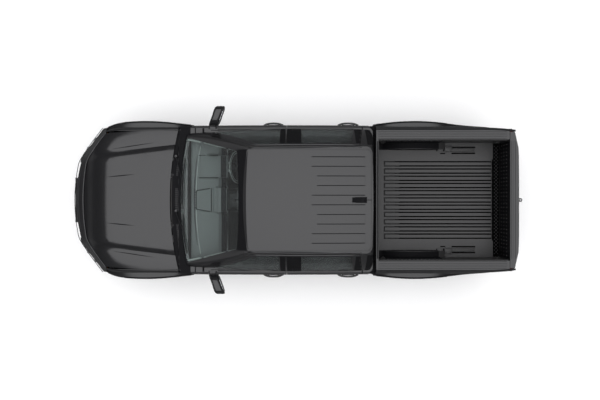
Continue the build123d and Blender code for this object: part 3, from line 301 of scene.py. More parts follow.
def buildWeaveGroup():
    # woven cloth: crossed sets of threads, read from Object coordinates
    group, given, end = newGroup("wovenCloth", {"Threads": 700.0}, {"Height": "NodeSocketFloat"})
    place = addNode(group, "ShaderNodeTexCoord").outputs["Object"]
    inputs = {"Vector": place, "Scale": given["Threads"], "Distortion": 0.6, "Detail": 1.0}
    waves = [addNode(group, "ShaderNodeTexWave", inputs, bands_direction=direction).outputs["Fac"]
             for direction in ("X", "Y", "Z")]
    crossed = mathNode(group, "MAXIMUM", waves[0], waves[1])
    group.links.new(mathNode(group, "MULTIPLY", crossed, waves[2]), end["Height"])
    return group


surfaceLife = buildWearGroup()
mouldedGrain = buildGrainGroup()
wovenCloth = buildWeaveGroup()


def newMaterial(name):
    material = bpy.data.materials.new(name)
    material.use_nodes = True
    return material, material.node_tree, material.node_tree.nodes["Principled BSDF"]


def finish(name, colour, roughness, metallic=0.0, cloud=0.15, roughnessChange=0.08, dust=0.0, scale=3.0,
           coat=0.0, coatRoughness=0.03, specular=0.5, sheen=0.0, grain=None, weave=None):
    # one surface finish: life in its colour and roughness, and the grain or weave it has
    material, tree, shader = newMaterial(name)
    life = addNode(tree, "ShaderNodeGroup", node_tree=surfaceLife)
    setInputs(life, {"Colour": (*colour, 1), "Scale": scale, "Cloud": cloud, "Dust": dust,
                     "Roughness": roughness, "Roughness Change": roughnessChange})
    tree.links.new(life.outputs["Colour"], shader.inputs["Base Color"])
    tree.links.new(life.outputs["Roughness"], shader.inputs["Roughness"])
    setInputs(shader, {"Metallic": metallic, "IOR": 1.5, "Specular IOR Level": specular, "Coat Weight": coat,
                       "Coat Roughness": coatRoughness, "Transmission Weight": 0.0})
    if sheen:
        setInputs(shader, {"Sheen Weight": sheen, "Sheen Roughness": 0.4})
    if grain or weave:
        source = addNode(tree, "ShaderNodeGroup", node_tree=mouldedGrain if grain else wovenCloth)
        fineness, distance = grain or weave
        source.inputs["Cell" if grain else "Threads"].default_value = fineness
        bump = addNode(tree, "ShaderNodeBump",
                       {"Strength": 0.6, "Distance": distance, "Height": source.outputs["Height"]})
        tree.links.new(bump.outputs["Normal"], shader.inputs["Normal"])
    return material


def glassFinish(name, colour, roughness=0.0):
    # clear to shadow and diffuse rays, so that daylight reaches what is behind it
    material, tree, shader = newMaterial(name)
    setInputs(shader, {"Base Color": (*colour, 1), "Roughness": roughness, "IOR": 1.45,
                       "Transmission Weight": 1.0})
    clear = addNode(tree, "ShaderNodeBsdfTransparent", {"Color": (*[sqrt(c) for c in colour], 1)})
    rays = addNode(tree, "ShaderNodeLightPath")
    either = mathNode(tree, "MAXIMUM", rays.outputs["Is Shadow Ray"], rays.outputs["Is Diffuse Ray"])
    mix = addNode(tree, "ShaderNodeMixShader", {"Fac": either, 1: shader.outputs[0], 2: clear.outputs[0]})
    tree.links.new(mix.outputs[0], tree.nodes["Material Output"].inputs["Surface"])
    return material


finishes = {
    "paint": finish("blackPaint", (0.011, 0.011, 0.012), 0.32, coat=1.0, coatRoughness=0.015, specular=0.25,
                    cloud=0.2, roughnessChange=0.05, grain=(420.0, 0.00002)),
    "plastic": finish("satinPlastic", (0.022, 0.022, 0.024), 0.48, grain=(1500.0, 0.00025), dust=0.02),
    "matteBlack": finish("matteBlack", (0.007, 0.007, 0.008), 0.7, specular=0.12, grain=(1200.0, 0.0003)),
    # near-black for painted shade in rib valleys, slots, grooves and cup wells, and for dark gaps, fins and
    # vent blades
    "shadeAndGapBlack": finish("shadeAndGapBlack", (0.002, 0.002, 0.002), 0.9, specular=0.03, cloud=0.0),
    "rail": finish("brightTrim", (0.05, 0.05, 0.053), 0.2, metallic=0.5, coat=0.8),
    "liner": finish("linerPlastic", (0.03, 0.03, 0.031), 0.42, grain=(900.0, 0.0004), dust=0.03),
    "dashTop": finish("dashPad", (0.10, 0.108, 0.108), 0.6, grain=(1300.0, 0.0004)),
    # pale: painted highlights on the A-pillars and the steering wheel rim, and the pale demister rim
    "pale": finish("paleHighlightAndTrim", (0.3, 0.32, 0.31), 0.5, grain=(1300.0, 0.0003)),
    "trim": finish("greyTrim", (0.23, 0.24, 0.24), 0.6, grain=(1300.0, 0.0004)),
    "darkTrim": finish("darkTrim", (0.03, 0.031, 0.033), 0.62, grain=(1300.0, 0.0004)),
    "headliner": finish("headliner", (0.32, 0.31, 0.29), 0.9, weave=(900.0, 0.0003), sheen=0.2),
    "carpet": finish("carpet", (0.03, 0.03, 0.03), 0.95, weave=(400.0, 0.001), sheen=0.3),
    "rubber": finish("tyreRubber", (0.02, 0.02, 0.021), 0.72, grain=(700.0, 0.0004), dust=0.1),
    "alloy": finish("machinedAlloy", (0.46, 0.47, 0.48), 0.24, metallic=1.0, coat=0.4, cloud=0.06),
    "darkAlloy": finish("darkAlloy", (0.05, 0.05, 0.053), 0.35, metallic=0.6, coat=0.5),
    "iron": finish("castIron", (0.16, 0.15, 0.14), 0.6, metallic=0.8, grain=(500.0, 0.0005), cloud=0.4),
    "disc": finish("brakeIron", (0.42, 0.41, 0.4), 0.3, metallic=1.0, cloud=0.3, scale=12.0),
    "wax": finish("chassisWax", (0.016, 0.016, 0.017), 0.5, cloud=0.5, grain=(160.0, 0.0006), dust=0.08),
    "exhaust": finish("exhaustSteel", (0.42, 0.38, 0.33), 0.38, metallic=1.0, cloud=0.4, scale=9.0),
    "chrome": finish("brightSteel", (0.82, 0.82, 0.83), 0.08, metallic=1.0, cloud=0.03, roughnessChange=0.03),
    "fabric": finish("seatFabric", (0.05, 0.052, 0.056), 0.9, weave=(800.0, 0.0005), sheen=0.3, cloud=0.3),
    "leather": finish("wheelLeather", (0.025, 0.025, 0.026), 0.5, grain=(1000.0, 0.0006)),
    "glass": glassFinish("tintedGlass", (0.80, 0.86, 0.85)),
    "sideGlass": glassFinish("sideGlass", (0.80, 0.86, 0.85), 0.16),
    "lens": glassFinish("clearLens", (0.5, 0.52, 0.53)),
    "redLens": glassFinish("redLens", (0.65, 0.02, 0.02)),
    "mirror": finish("mirrorGlass", (0.8, 0.82, 0.84), 0.02, metallic=1.0, cloud=0.0, roughnessChange=0.0),
    "plate": finish("blankPlate", (0.75, 0.75, 0.72), 0.4, coat=0.3, cloud=0.05),
    "amber": finish("amberLens", (0.7, 0.25, 0.02), 0.2, coat=1.0),
    "screen": finish("darkScreen", (0.008, 0.009, 0.01), 0.08, coat=1.0, cloud=0.0),
}

nodeFinish = {
    "paint": ["hood", "front_fenders", "front_bumper", "roof_panel", "cab_shell", "cab_floor",
              "front_door_left", "front_door_right",
              "rear_door_left", "rear_door_right", "bed_sides", "bed_box", "tailgate", "door_mirror_left",
              "door_mirror_right"],
    "glass": ["fixed_glass"],
    "sideGlass": ["front_door_glass_left", "front_door_glass_right", "rear_door_glass_left",
                  "rear_door_glass_right"],
    "plastic": ["grille", "wheel_liners", "rear_bumper", "centre_console", "fuel_tank"],
    "matteBlack": ["cowl", "antenna_fin"],
    "leather": ["steering_wheel"],
    "liner": ["bed_liner"],
    "rubber": ["front_tyre_left", "front_tyre_right", "rear_tyre_left", "rear_tyre_right"],
    "alloy": ["front_rim_left", "front_rim_right", "rear_rim_left", "rear_rim_right"],
    "wax": ["frame_rails", "frame_cross_members", "subframe", "suspension_arms", "rear_axle", "leaf_springs",
            "driveshaft"],
    "iron": ["engine", "knuckle_left", "knuckle_right"],
    "exhaust": ["exhaust"],
    "chrome": ["tow_bar"],
    "lens": ["headlights"],
    "redLens": ["tail_lamps"],
    "dashTop": ["dashboard"],
    "fabric": ["front_seats", "rear_bench"],
}


def buildSmoothGroup():
    # joins loose triangles and keeps only real creases sharp
    group = bpy.data.node_groups.new("creaseShading", "GeometryNodeTree")
    for direction in ("INPUT", "OUTPUT"):
        group.interface.new_socket(name="Geometry", in_out=direction, socket_type="NodeSocketGeometry")
    start = group.nodes.new("NodeGroupInput")
    end = group.nodes.new("NodeGroupOutput")
    merge = addNode(group, "GeometryNodeMergeByDistance", {"Geometry": start.outputs[0], "Distance": 0.00002})
    faces = addNode(group, "GeometryNodeSetShadeSmooth", {"Geometry": merge.outputs["Geometry"]},
                    domain="FACE")
    angle = addNode(group, "GeometryNodeInputMeshEdgeAngle")
    sharp = addNode(group, "FunctionNodeCompare", {"A": angle.outputs["Unsigned Angle"], "B": radians(24)},
                    data_type="FLOAT", operation="GREATER_THAN")
    edges = addNode(group, "GeometryNodeSetShadeSmooth",
                    {"Geometry": faces.outputs["Geometry"], "Selection": sharp.outputs["Result"],
                     "Shade Smooth": False}, domain="EDGE")
    group.links.new(edges.outputs["Geometry"], end.inputs[0])
    return group


creaseShading = buildSmoothGroup()
for finishName, names in nodeFinish.items():
    for name in names:
        node = nodes[name]
        node.data.materials.clear()
        node.data.materials.append(finishes[finishName])
        modifier = node.modifiers.new("creases", "NODES")
        modifier.node_group = creaseShading
print("CAD nodes finished")


# places are given as a station behind the nose, a Y and a height, in millimetres

noseX = cadBox[1][0] * 1000
frontAxle, rearAxle = 900, 4170


def at(s, y, z):
    return Vector(((noseX - s) / 1000, y / 1000, z / 1000))


def slab(name, outline, depth, bevel=0.001, direction=(0, 0, -1)):
    # a plate from an outline of (station, Y, height) points, with its edges rounded
    deselectAll()
    bpy.ops.mesh.primitive_circle_add(vertices=len(outline), radius=1, fill_type="NGON")
    obj = bpy.context.object
    obj.name = name
    for vertex, point in zip(obj.data.vertices, outline):
        vertex.co = at(*point)
    editAll(obj)
    bpy.ops.mesh.extrude_region_move(TRANSFORM_OT_translate={"value": Vector(direction) * depth / 1000})
    bpy.ops.mesh.select_all(action="SELECT")
    bpy.ops.mesh.normals_make_consistent(inside=False)
    editDone()
    if bevel:
        bevelEdges(obj, bevel)
    return smooth(obj)


def box(name, s, y, z, bevel=1.0, segments=2):
    # a rounded box over three ranges, in millimetres
    low, high = at(s[1], y[0], z[0]), at(s[0], y[1], z[1])
    return roundedBox(name, low, high, bevel / 1000, segments)


def bar(name, start, end, radius, bevel=0.0, vertices=20):
    return roundBar(name, at(*start), at(*end), radius / 1000, vertices, bevel / 1000)


def rod(name, points, radius, closed=False, resolution=2, smoothCurve=True):
    return tube(name, [at(*point) for point in points], radius / 1000, closed, resolution, smoothCurve)


def flatRod(name, points, width, height):
    # a low rounded strip along points that share one height
    obj = rod(name, points, width / 2, resolution=4)
    editAll(obj)
    bpy.ops.transform.resize(value=(1, 1, height / width), center_override=(0, 0, points[0][2] / 1000))
    editDone()
    return obj


def dropOn(names):
    # a function that gives the height of the CAD surface under a place
    trees = []
    for name in names:
        mesh = nodes[name].data
        trees.append(BVHTree.FromPolygons([v.co for v in mesh.vertices], [p.vertices for p in mesh.polygons]))

    def height(x, y, fallback):
        found = [hit[0].z for hit in (tree.ray_cast(Vector((x, y, 3)), Vector((0, 0, -1))) for tree in trees)
                 if hit[0]]
        return max(found) if found else fallback
    return height


def draped(name, names, sRange, yRange, steps, lift, thickness, fallback=1.2):
    # a sheet laid over CAD surfaces; sRange and yRange are (low, high) or functions of the other share
    deselectAll()
    bpy.ops.mesh.primitive_grid_add(x_subdivisions=steps[0], y_subdivisions=steps[1], size=1)
    obj = bpy.context.object
    obj.name = name
    height = dropOn(names)
    for vertex in obj.data.vertices:
        u, v = vertex.co.x + 0.5, vertex.co.y + 0.5
        y0, y1 = yRange(u) if callable(yRange) else yRange
        y = y0 + (y1 - y0) * v
        s0, s1 = sRange(y) if callable(sRange) else sRange
        x = (noseX - (s0 + (s1 - s0) * u)) / 1000
        vertex.co = (x, y / 1000, height(x, y / 1000, fallback) + lift / 1000)
    editAll(obj)
    bpy.ops.mesh.normals_make_consistent(inside=False)
    editDone()
    if sum(face.normal.z for face in obj.data.polygons) < 0:
        obj.data.flip_normals()
    solid = obj.modifiers.new("thickness", "SOLIDIFY")
    solid.thickness = thickness / 1000
    solid.offset = 1
    applyAll(obj)
    return smooth(obj, 40)


def onBothSides(obj, finishName, body=chassis):
    # the piece on the left, and its mirror twin on the right
    name = obj.name
    twin = mirroredCopy(obj, name + "Right")
    obj.name = name + "Left"
    left, right = (body + "_left", body + "_right") if body in handedBodies else (body, body)
    finishPiece(obj, finishName, left)
    finishPiece(twin, finishName, right)


# nose: mouldings, grille mesh, lamps, number plate and cowl

nose = {
    "edgeWidth": 10,
    "edgeHeight": 6,
    "meshPitch": 22,
    "meshRise": 26,
    "meshLean": 0.18,
    "fogRadius": 42,
    "plateWidth": 520,
    "plateHeight": 111,
}


def noseArc(middle, side, half, z, corner, steps=6):
    # points round the nose: an arc across the front and one leg back on each side
    leg = [(corner[0], corner[1], z)]
    across = [(side + (middle - side) * (1 - (2 * i / steps - 1) ** 2), half * (1 - 2 * i / steps), z)
              for i in range(steps + 1)]
    return leg + across + [(corner[0], -corner[1], z)]


def buildNose():
    finishPiece(flatRod("hoodEdgeMoulding", noseArc(150, 205, 528, 1043, (430, 812)), nose["edgeWidth"],
                        nose["edgeHeight"]), "rail")
    finishPiece(flatRod("noseBrightLine", noseArc(42, 108, 522, 1001, (384, 872)), 9, 5), "rail")
    for z, width, middle, side, half in ((806, 12, 36, 98, 480), (1008, 10, 66, 126, 450)):
        front = noseArc(middle, side, half, z, (200, 500), 8)[1:-1]
        finishPiece(rod("grilleFrame", front, width / 2), "plastic")
    mesh = []
    for column in range(-20, 21):
        y = column * nose["meshPitch"]
        s = 36 + 60 * (y / 480) ** 2
        for row in range(8):
            z = 806 + row * nose["meshRise"]
            low = (s + (z - 800) * nose["meshLean"], y, z)
            high = (s + (z - 774) * nose["meshLean"], y + nose["meshPitch"] / 2, z + nose["meshRise"])
            mesh.append(bar("meshWire", low, high, 2, vertices=6))
    finishPiece(joined(mesh, "grilleMesh"), "plastic")
    slats = [box("intakeSlat", (52, 80), (-415, 415), (z, z + 10), 2) for z in (530, 560, 590, 620)]
    finishPiece(joined(slats, "intakeSlats"), "plastic")
    plate = box("frontPlate", (-4, -1), (-nose["plateWidth"] / 2, nose["plateWidth"] / 2),
                (668, 668 + nose["plateHeight"]), 1)
    finishPiece(plate, "plate")
    finishPiece(box("frontPlateHolder", (0, 20), (-275, 275), (660, 787), 4), "plastic")
    bezel = bar("fogBezel", (218, 641, 560), (188, 665, 560), 52, 3, 32)
    lamp = bar("fogLens", (194, 660, 560), (184, 668, 560), nose["fogRadius"], 3, 32)
    onBothSides(bezel, "plastic")
    onBothSides(lamp, "lens")
    for y, s, radius in ((610, 175, 46), (715, 265, 50)):
        bowl = bar("lampBowl", (s + 60, y, 930), (s + 12, y - 8, 930), radius, 2, 32)
        bulb = bar("lampProjector", (s + 30, y - 4, 930), (s + 4, y - 10, 930), radius * 0.66, 8, 32)
        onBothSides(bowl, "chrome")
        onBothSides(bulb, "lens")
    amber = box("frontIndicator", (352, 396), (812, 838), (900, 960), 6)
    onBothSides(amber, "amber")
    finishPiece(box("frontPlateLip", (-7, 12), (-275, 275), (780, 789), 2), "matteBlack")
    rim = [(12 + 73 * (y / 527) ** 2, y, 700) for y in range(-500, 501, 100)]
    finishPiece(slab("noseShelf", rim + [(220, 500, 700), (220, -500, 700)], 8, 0.0005), "matteBlack")
    finishPiece(rod("towHookCover", [(14, 0, 560), (8, 60, 560), (14, 120, 560)], 8), "plastic")


def hoodRear(y):
    return 1221 + 95 * (y / 827) ** 2


def glassBase(y):
    return 1352 + 76 * (y / 742) ** 2


def buildCowl():
    finishPiece(draped("cowlPanel", ["cab_shell"], lambda y: (hoodRear(y) + 9, glassBase(y) + 6), (-775, 775),
                       (26, 60), 3, 2, 1.16), "matteBlack")
    slots = []
    for centre in (-430, 0, 430):
        for i in range(-6, 7):
            y = centre + i * 22
            s = hoodRear(y) + 62
            slots.append(box("cowlSlot", (s, s + 34), (y - 6, y + 6), (1158, 1168), 2))
    finishPiece(joined(slots, "cowlSlots"), "plastic")
    finishPiece(rod("hoodSeal", [(hoodRear(y) + 16, y, 1160 - 16 * (abs(y) / 780) ** 2)
                                 for y in range(-760, 761, 95)], 8), "rubber")
    for number, (pivot, low, high) in enumerate(((-520, -490, 110), (130, 160, 640))):
        hub = bar("wiperHub", (1300, pivot, 1192), (1300, pivot, 1222), 17, 3)
        middle = (low + high) / 2
        arm = rod("wiperArm", [(1300, pivot, 1218), (1328, pivot + 90, 1226),
                               (glassBase(middle) + 22, middle - 20, 1232)], 6)
        blade = rod("wiperBlade", [(glassBase(y) + 24, y, 1228) for y in range(low, high + 1, 60)], 5)
        top = [(glassBase(y) + 22, y, 1235) for y in range(low + 60, high - 30, 60)]
        carrier = rod("wiperCarrier", top, 6)
        finishPiece(joined([hub, arm, carrier], f"wiper{number}"), "paint")
        finishPiece(blade, "rubber")
    jets = [bar("washerJet", (1262, y, 1150), (1262, y, 1172), 9, 3) for y in (-300, 300)]
    finishPiece(joined(jets, "washerJets"), "plastic")


def buildCreaseShades():
    # thin dark strips painted on the hood as the shade of its creases; they narrow to nothing at their ends
    for name, s, low, high, width in (("innerCreaseShade", (458, 800), 274, 306, 11),
                                      ("outerCreaseShade", (520, 1030), 610, 686, 9)):
        creaseShade = draped(name, ["hood"], s, lambda u: (low + (high - low) * u - width * sin(pi * u) / 2,
                                                      low + (high - low) * u + width * sin(pi * u) / 2 + 0.5),
                        (30, 2), 0.4, 0.4)
        onBothSides(creaseShade, "matteBlack", "hood")
    onBothSides(draped("cowlCorner", ["cab_shell"], (1328, 1472), (772, 872), (12, 10), 0.6, 0.6),
                "matteBlack")


buildNose()
buildCowl()
buildCreaseShades()
print("nose and cowl done")


# cab outside: seals, header, roof rails, pillars, handles and mirrors

cab = {
    "railLineWidth": 11,
    "handleReach": 20,
    "bandSpacing": 107,
    "bandShadeWidth": 8,
}


def ditchPath(y, z0):
    height = dropOn(["cab_shell", "roof_panel"])
    points = []
    for s in range(2150, 3581, 110):
        bow = 8 * (1 - ((s - 2865) / 715) ** 2)
        place = (noseX - s) / 1000, (y + bow) / 1000
        points.append((s, y + bow, height(*place, 1.8) * 1000 + z0))
    return points


def buildCab():
    header = draped("roofHeader", ["cab_shell", "roof_panel"],
                    lambda y: (2086 - 20 * (y / 552) ** 2, 2134 + 42 * (y / 552) ** 2), (-566, 566), (10, 60),
                    1.5, 1.5, 1.8)
    finishPiece(header, "matteBlack")
    for y in (583, 611):
        onBothSides(rod("roofRailLine", ditchPath(y, 0.5), cab["railLineWidth"] / 2, resolution=3), "rail")
    onBothSides(rod("roofGutter", ditchPath(597, -1), 4, resolution=2), "rubber")
    finishPiece(rod("antennaLead", [(3500, 0, 1858), (3540, 0, 1851), (3575, 0, 1840)], 4), "plastic")
    finishPiece(flatRod("antennaBase", [(3394, 0, 1857), (3440, 0, 1857), (3516, 0, 1857)], 64, 12),
                "matteBlack")
    # black strips painted along the edges of the roof bands as the shade of their grooves
    bandShades = []
    for i in range(-5, 5):
        y, start = (i + 0.5) * cab["bandSpacing"], 2962 if abs(i + 0.5) in (1.5, 2.5) else 2902
        half = cab["bandShadeWidth"] / 2
        bandShades.append(draped("bandShadeLine", ["roof_panel"], (start, 3500), (y - half, y + half), (24, 2), 0.5,
                            0.4, 1.84))
    finishPiece(joined(bandShades, "roofBandShadeLines"), "matteBlack")
    # pale strips just under the windscreen along the A-pillars: painted glints on the glass
    surface = dropOn(["fixed_glass"])
    for number, (s0, s1) in enumerate(((1440, 1610), (1660, 1900), (1930, 2040))):
        glint = []
        for i in range(4):
            s = s0 + (s1 - s0) * i / 3
            y = 722 - 140 * (s - 1430) / 640
            glint.append((s, y, surface(at(s, 0, 0).x, y / 1000, 1.3) * 1000 - 34))
        onBothSides(rod(f"pillarTrim{number}", glint, 13), "pale")
    finishPiece(box("highBrakeLamp", (3558, 3572), (-120, 120), (1700, 1716), 4), "redLens")
    finishPiece(box("cabRearApron", (3606, 3690), (-885, 885), (560, 1150), 10), "matteBlack")
    for name, names, s, y, body in (
        ("frontPillarCover", ["front_door_left", "front_door_glass_left"], (2546, 2604), (640, 838),
         "front_door"),
        ("rearPillarCover", ["rear_door_left", "rear_door_glass_left"], (2622, 2786), (640, 838),
         "rear_door"),
        ("quarterCover", ["rear_door_left", "rear_door_glass_left"], (3404, 3492), (640, 832), "rear_door"),
        ("cornerCover", ["cab_shell"], (3532, 3604), (622, 826), chassis),
    ):
        onBothSides(draped(name, names, s, y, (6, 24), 1.2, 1.5), "matteBlack", body)
    for body, s0, s1 in (("front_door", 2332, 2574), ("rear_door", 3228, 3482)):
        middle = (s0 + s1) / 2
        points = [(s0 + 4, 900, 1000), (s0 + 36, 922, 1001), (middle, 909 + cab["handleReach"], 1002),
                  (s1 - 36, 922, 1001), (s1 - 4, 900, 1000)]
        grip = rod("doorHandle", points, 12, resolution=3)
        cup = box("handleCup", (s0 + 50, s1 - 50), (898, 909), (976, 1024), 4)
        onBothSides(grip, "paint", body)
        onBothSides(cup, "plastic", body)
    for body, glass, s in (("front_door", "front_door_glass_left", (1720, 2530)),
                           ("rear_door", "rear_door_glass_left", (2700, 3400))):
        height = dropOn([glass, body + "_left"])
        for y in (842, 822):
            onBothSides(rod("beltStrip", [(p, y, height((noseX - p) / 1000, y / 1000, 1.22) * 1000 + 2)
                                          for p in (s[0], (s[0] + s[1]) / 2, s[1])], 3.5), "rail", body)
    onBothSides(rod("mirrorRidge", [(1794, 894, 1302), (1810, 935, 1338), (1846, 1030, 1352),
                                    (1866, 1080, 1343)], 6), "rail", "front_door")
    onBothSides(rod("mirrorIndicator", [(1724, 950, 1268), (1754, 1030, 1268), (1776, 1085, 1268)], 5),
                "amber", "front_door")
    outline = [(1814, 902, 1200), (1828, 938, 1186), (1862, 1032, 1184), (1880, 1080, 1206),
               (1880, 1082, 1318), (1862, 1030, 1334), (1828, 938, 1322), (1814, 902, 1284)]
    onBothSides(slab("mirrorGlass", outline, 3, 0.0006, (-1, 0, 0)), "mirror", "front_door")


def flareEdge(s, axle, half):
    return 911 + 48 * max(0, 1 - ((s - axle) / half) ** 2) ** 1.5


def buildFlareLines():
    # a dark joint along the shelf's root, a dark edge and a bright outer lip on each flare
    for name, axle, half, (reach, fall), (s0, s1), root in (
        ("front", frontAxle, 640, (600, 40), (640, 1440), 876),
        ("rear", rearAxle, 620, (700, 30), (3700, 4560), 878),
    ):
        stations = [s0 + (s1 - s0) * i / 12 for i in range(13)]
        line = [(s, 985 - ((s - axle) / reach) ** 2 * fall) for s in stations]
        seam = rod(name + "ShelfJoint", [(s, root, z + 15) for s, z in line], 4.5)
        edge = rod(name + "FlareEdge", [(s, flareEdge(s, axle, half) - 15, z - 2) for s, z in line], 9)
        lip = rod(name + "FlareLip", [(s, flareEdge(s, axle, half) - 1, z - 24) for s, z in line], 4)
        onBothSides(seam, "matteBlack")
        onBothSides(edge, "matteBlack")
        onBothSides(lip, "rail")


buildCab()
buildFlareLines()
print("cab outside done")


# load bed: liner detail, rails, tailgate and lamps

bed = {
    "railLines": (722, 748, 774, 800),
    "ribs": 5,
    "ribPitch": 89,
    "hookRadius": 5,
    "studPitch": 44,
    "floorTop": 837,
    "railTop": 1330,
}


def buildBed():
    floor = bed["floorTop"]
    for y in bed["railLines"]:
        onBothSides(rod("railLine", [(s, y, bed["railTop"]) for s in (3690, 4200, 4700, 5200)], 3.2,
                        resolution=3), "paint")
    shades = []
    for i in range(-bed["ribs"], bed["ribs"] + 1):
        for side in (-1, 1):
            y = i * bed["ribPitch"] + side * 25.5
            shades.append(draped("ribShade", ["bed_liner"], (3806, 5124), (y - 7.5, y + 7.5), (6, 3), 0.5,
                                 0.4, 0.84))
    finishPiece(joined(shades, "ribShades"), "shadeAndGapBlack")
    # black sheets over the wheel arch hump and its sloped end: painted shade of the hump's wall
    onBothSides(draped("archShade", ["bed_liner"], (3728, 4470), (619, 706), (40, 10), 1, 2, 0.84),
                "matteBlack")
    onBothSides(slab("archRampShade", [(4462, 619, 842), (4462, 706, 842), (4572, 706, 842)], 4, 0.0005),
                "matteBlack")
    beads = [bar("archBead", (s, 698, 1290), (s + 26, 698, 1290), 6, vertices=10)
             for s in range(3800, 4440, 46)]
    onBothSides(joined(beads, "archBeads"), "rail")
    onBothSides(rod("linerLip", [(s, 704, 1291) for s in (3700, 4200, 4700, 5210)], 5), "liner")
    pads = [box("trackPad", (4470, 4530), (598, 650), (floor, 848), 3),
            box("trackPad", (4556, 4640), (600, 668), (floor, 850), 3)]
    # black boxes in the slots of the tie-down tracks: painted shade inside the slots
    slots = [box("trackSlotShade", (4640, 4930), (y, y + 16), (floor + 0.2, 840), 1) for y in (566, 640)]
    slots += [box("trackSlotShade", (4536, 4550), (596, 690), (floor + 0.2, 840), 1),
              box("trackSlotShade", (4450, 4462), (600, 668), (floor + 0.2, 840), 1),
              box("trackSlotShade", (4500, 4560), (566, 580), (floor + 0.2, 840), 1)]
    bars = [box("trackBar", (4640, 4920), (606, 634), (floor, 849), 4),
            box("trackBar", (4560, 4925), (585, 597), (floor, 845), 3)]
    onBothSides(joined(pads + bars, "trackPads"), "liner")
    onBothSides(joined(slots, "trackSlotShades"), "shadeAndGapBlack")
    # a black band across the tail of the bed floor: painted shade of the recess there
    finishPiece(box("tailSillShade", (5148, 5226), (-698, 698), (floor, 843), 2), "shadeAndGapBlack")
    dots = []
    for s, half, shift in ((5165, 6, 0), (5186, 11, 22), (5206, 6, 0)):
        for i in range(-15, 16):
            y = i * bed["studPitch"] + shift
            if abs(y) < 670:
                dots.append(box("sillStud", (s - 5, s + 5), (y - half, y + half), (842, 847), 1.5))
    finishPiece(joined(dots, "sillStuds"), "plastic")
    # a black strip across the rib ends: painted shade where the ribs ramp down
    finishPiece(draped("ribEndShade", ["bed_liner"], (5136, 5152), (-500, 500), (3, 200), 0.6, 0.5, 0.84),
                "shadeAndGapBlack")
    front = [box("frontBead", (3712, 3726), (y - 14, y + 14), (floor, 846), 3) for y in range(-660, 661, 60)]
    finishPiece(joined(front, "frontBeads"), "liner")
    loops = []
    for s in (3760, 5120):
        loops.append(rod("tieLoop", [(s - 26, 703, 1180), (s - 20, 680, 1172), (s + 20, 680, 1172),
                                     (s + 26, 703, 1180)], bed["hookRadius"]))
        loops.append(box("tiePlate", (s - 36, s + 36), (698, 704), (1162, 1198), 2))
    onBothSides(joined(loops, "tieDowns"), "wax")
    finishPiece(rod("bulkheadCap", [(3684, y, 1324) for y in range(-690, 691, 138)], 9), "plastic")


def buildTailgate():
    for s, width in ((5252, 7), (5272, 5), (5300, 7)):
        finishPiece(rod("tailgateLine", [(s, y, bed["railTop"]) for y in (-690, -350, 0, 350, 690)],
                        width / 2, resolution=3), "paint", "tailgate")
    finishPiece(box("tailgateInner", (5235, 5241), (-690, 690), (800, 1310), 2), "matteBlack", "tailgate")
    studs = [box("tailgateStud", (5226, 5236), (i * bed["studPitch"] - 7, i * bed["studPitch"] + 7),
                 (z - 6, z + 6), 2) for i in range(-15, 16) for z in (930, 1060, 1190)]
    finishPiece(joined(studs, "tailgateStuds"), "liner", "tailgate")
    ribs = [box("tailgateRib", (5230, 5237), (y - 26, y + 26), (840, 1270), 5) for y in range(-600, 601, 150)]
    finishPiece(joined(ribs, "tailgateRibs"), "matteBlack", "tailgate")
    finishPiece(box("tailgateHandle", (5318, 5346), (-110, 110), (1136, 1176), 8), "plastic", "tailgate")
    plate = box("rearPlate", (5347, 5350), (-260, 260), (548, 659), 1)
    finishPiece(plate, "plate")
    lamps = [box("plateLamp", (5336, 5352), (y - 24, y + 24), (672, 688), 3) for y in (-120, 120)]
    finishPiece(joined(lamps, "plateLamps"), "lens")
    tread = [box("bumperTread", (5262, 5318), (y - 4, y + 4), (709, 713), 1) for y in range(-420, 421, 28)]
    finishPiece(joined(tread, "bumperTread"), "rubber")
    for z0, z1, material in ((890, 990, "redLens"), (1000, 1070, "amber"), (1080, 1205, "redLens")):
        onBothSides(box("tailLampCell", (5240, 5296), (826, 846), (z0, z1), 6), material)


buildBed()
buildTailgate()
print("load bed done")


# wheels: treaded tyres, brakes and hub caps

wheel = {
    "radius": 395,
    "tyreHalf": 127.5,
    "blocksRound": 60,
    "blockRows": ((-78, 30), (-40, 27), (0, 30), (40, 27), (78, 30)),
    "treadDepth": 9,
    "halfTrack": 810,
    "nutCircle": 0.06985,
}


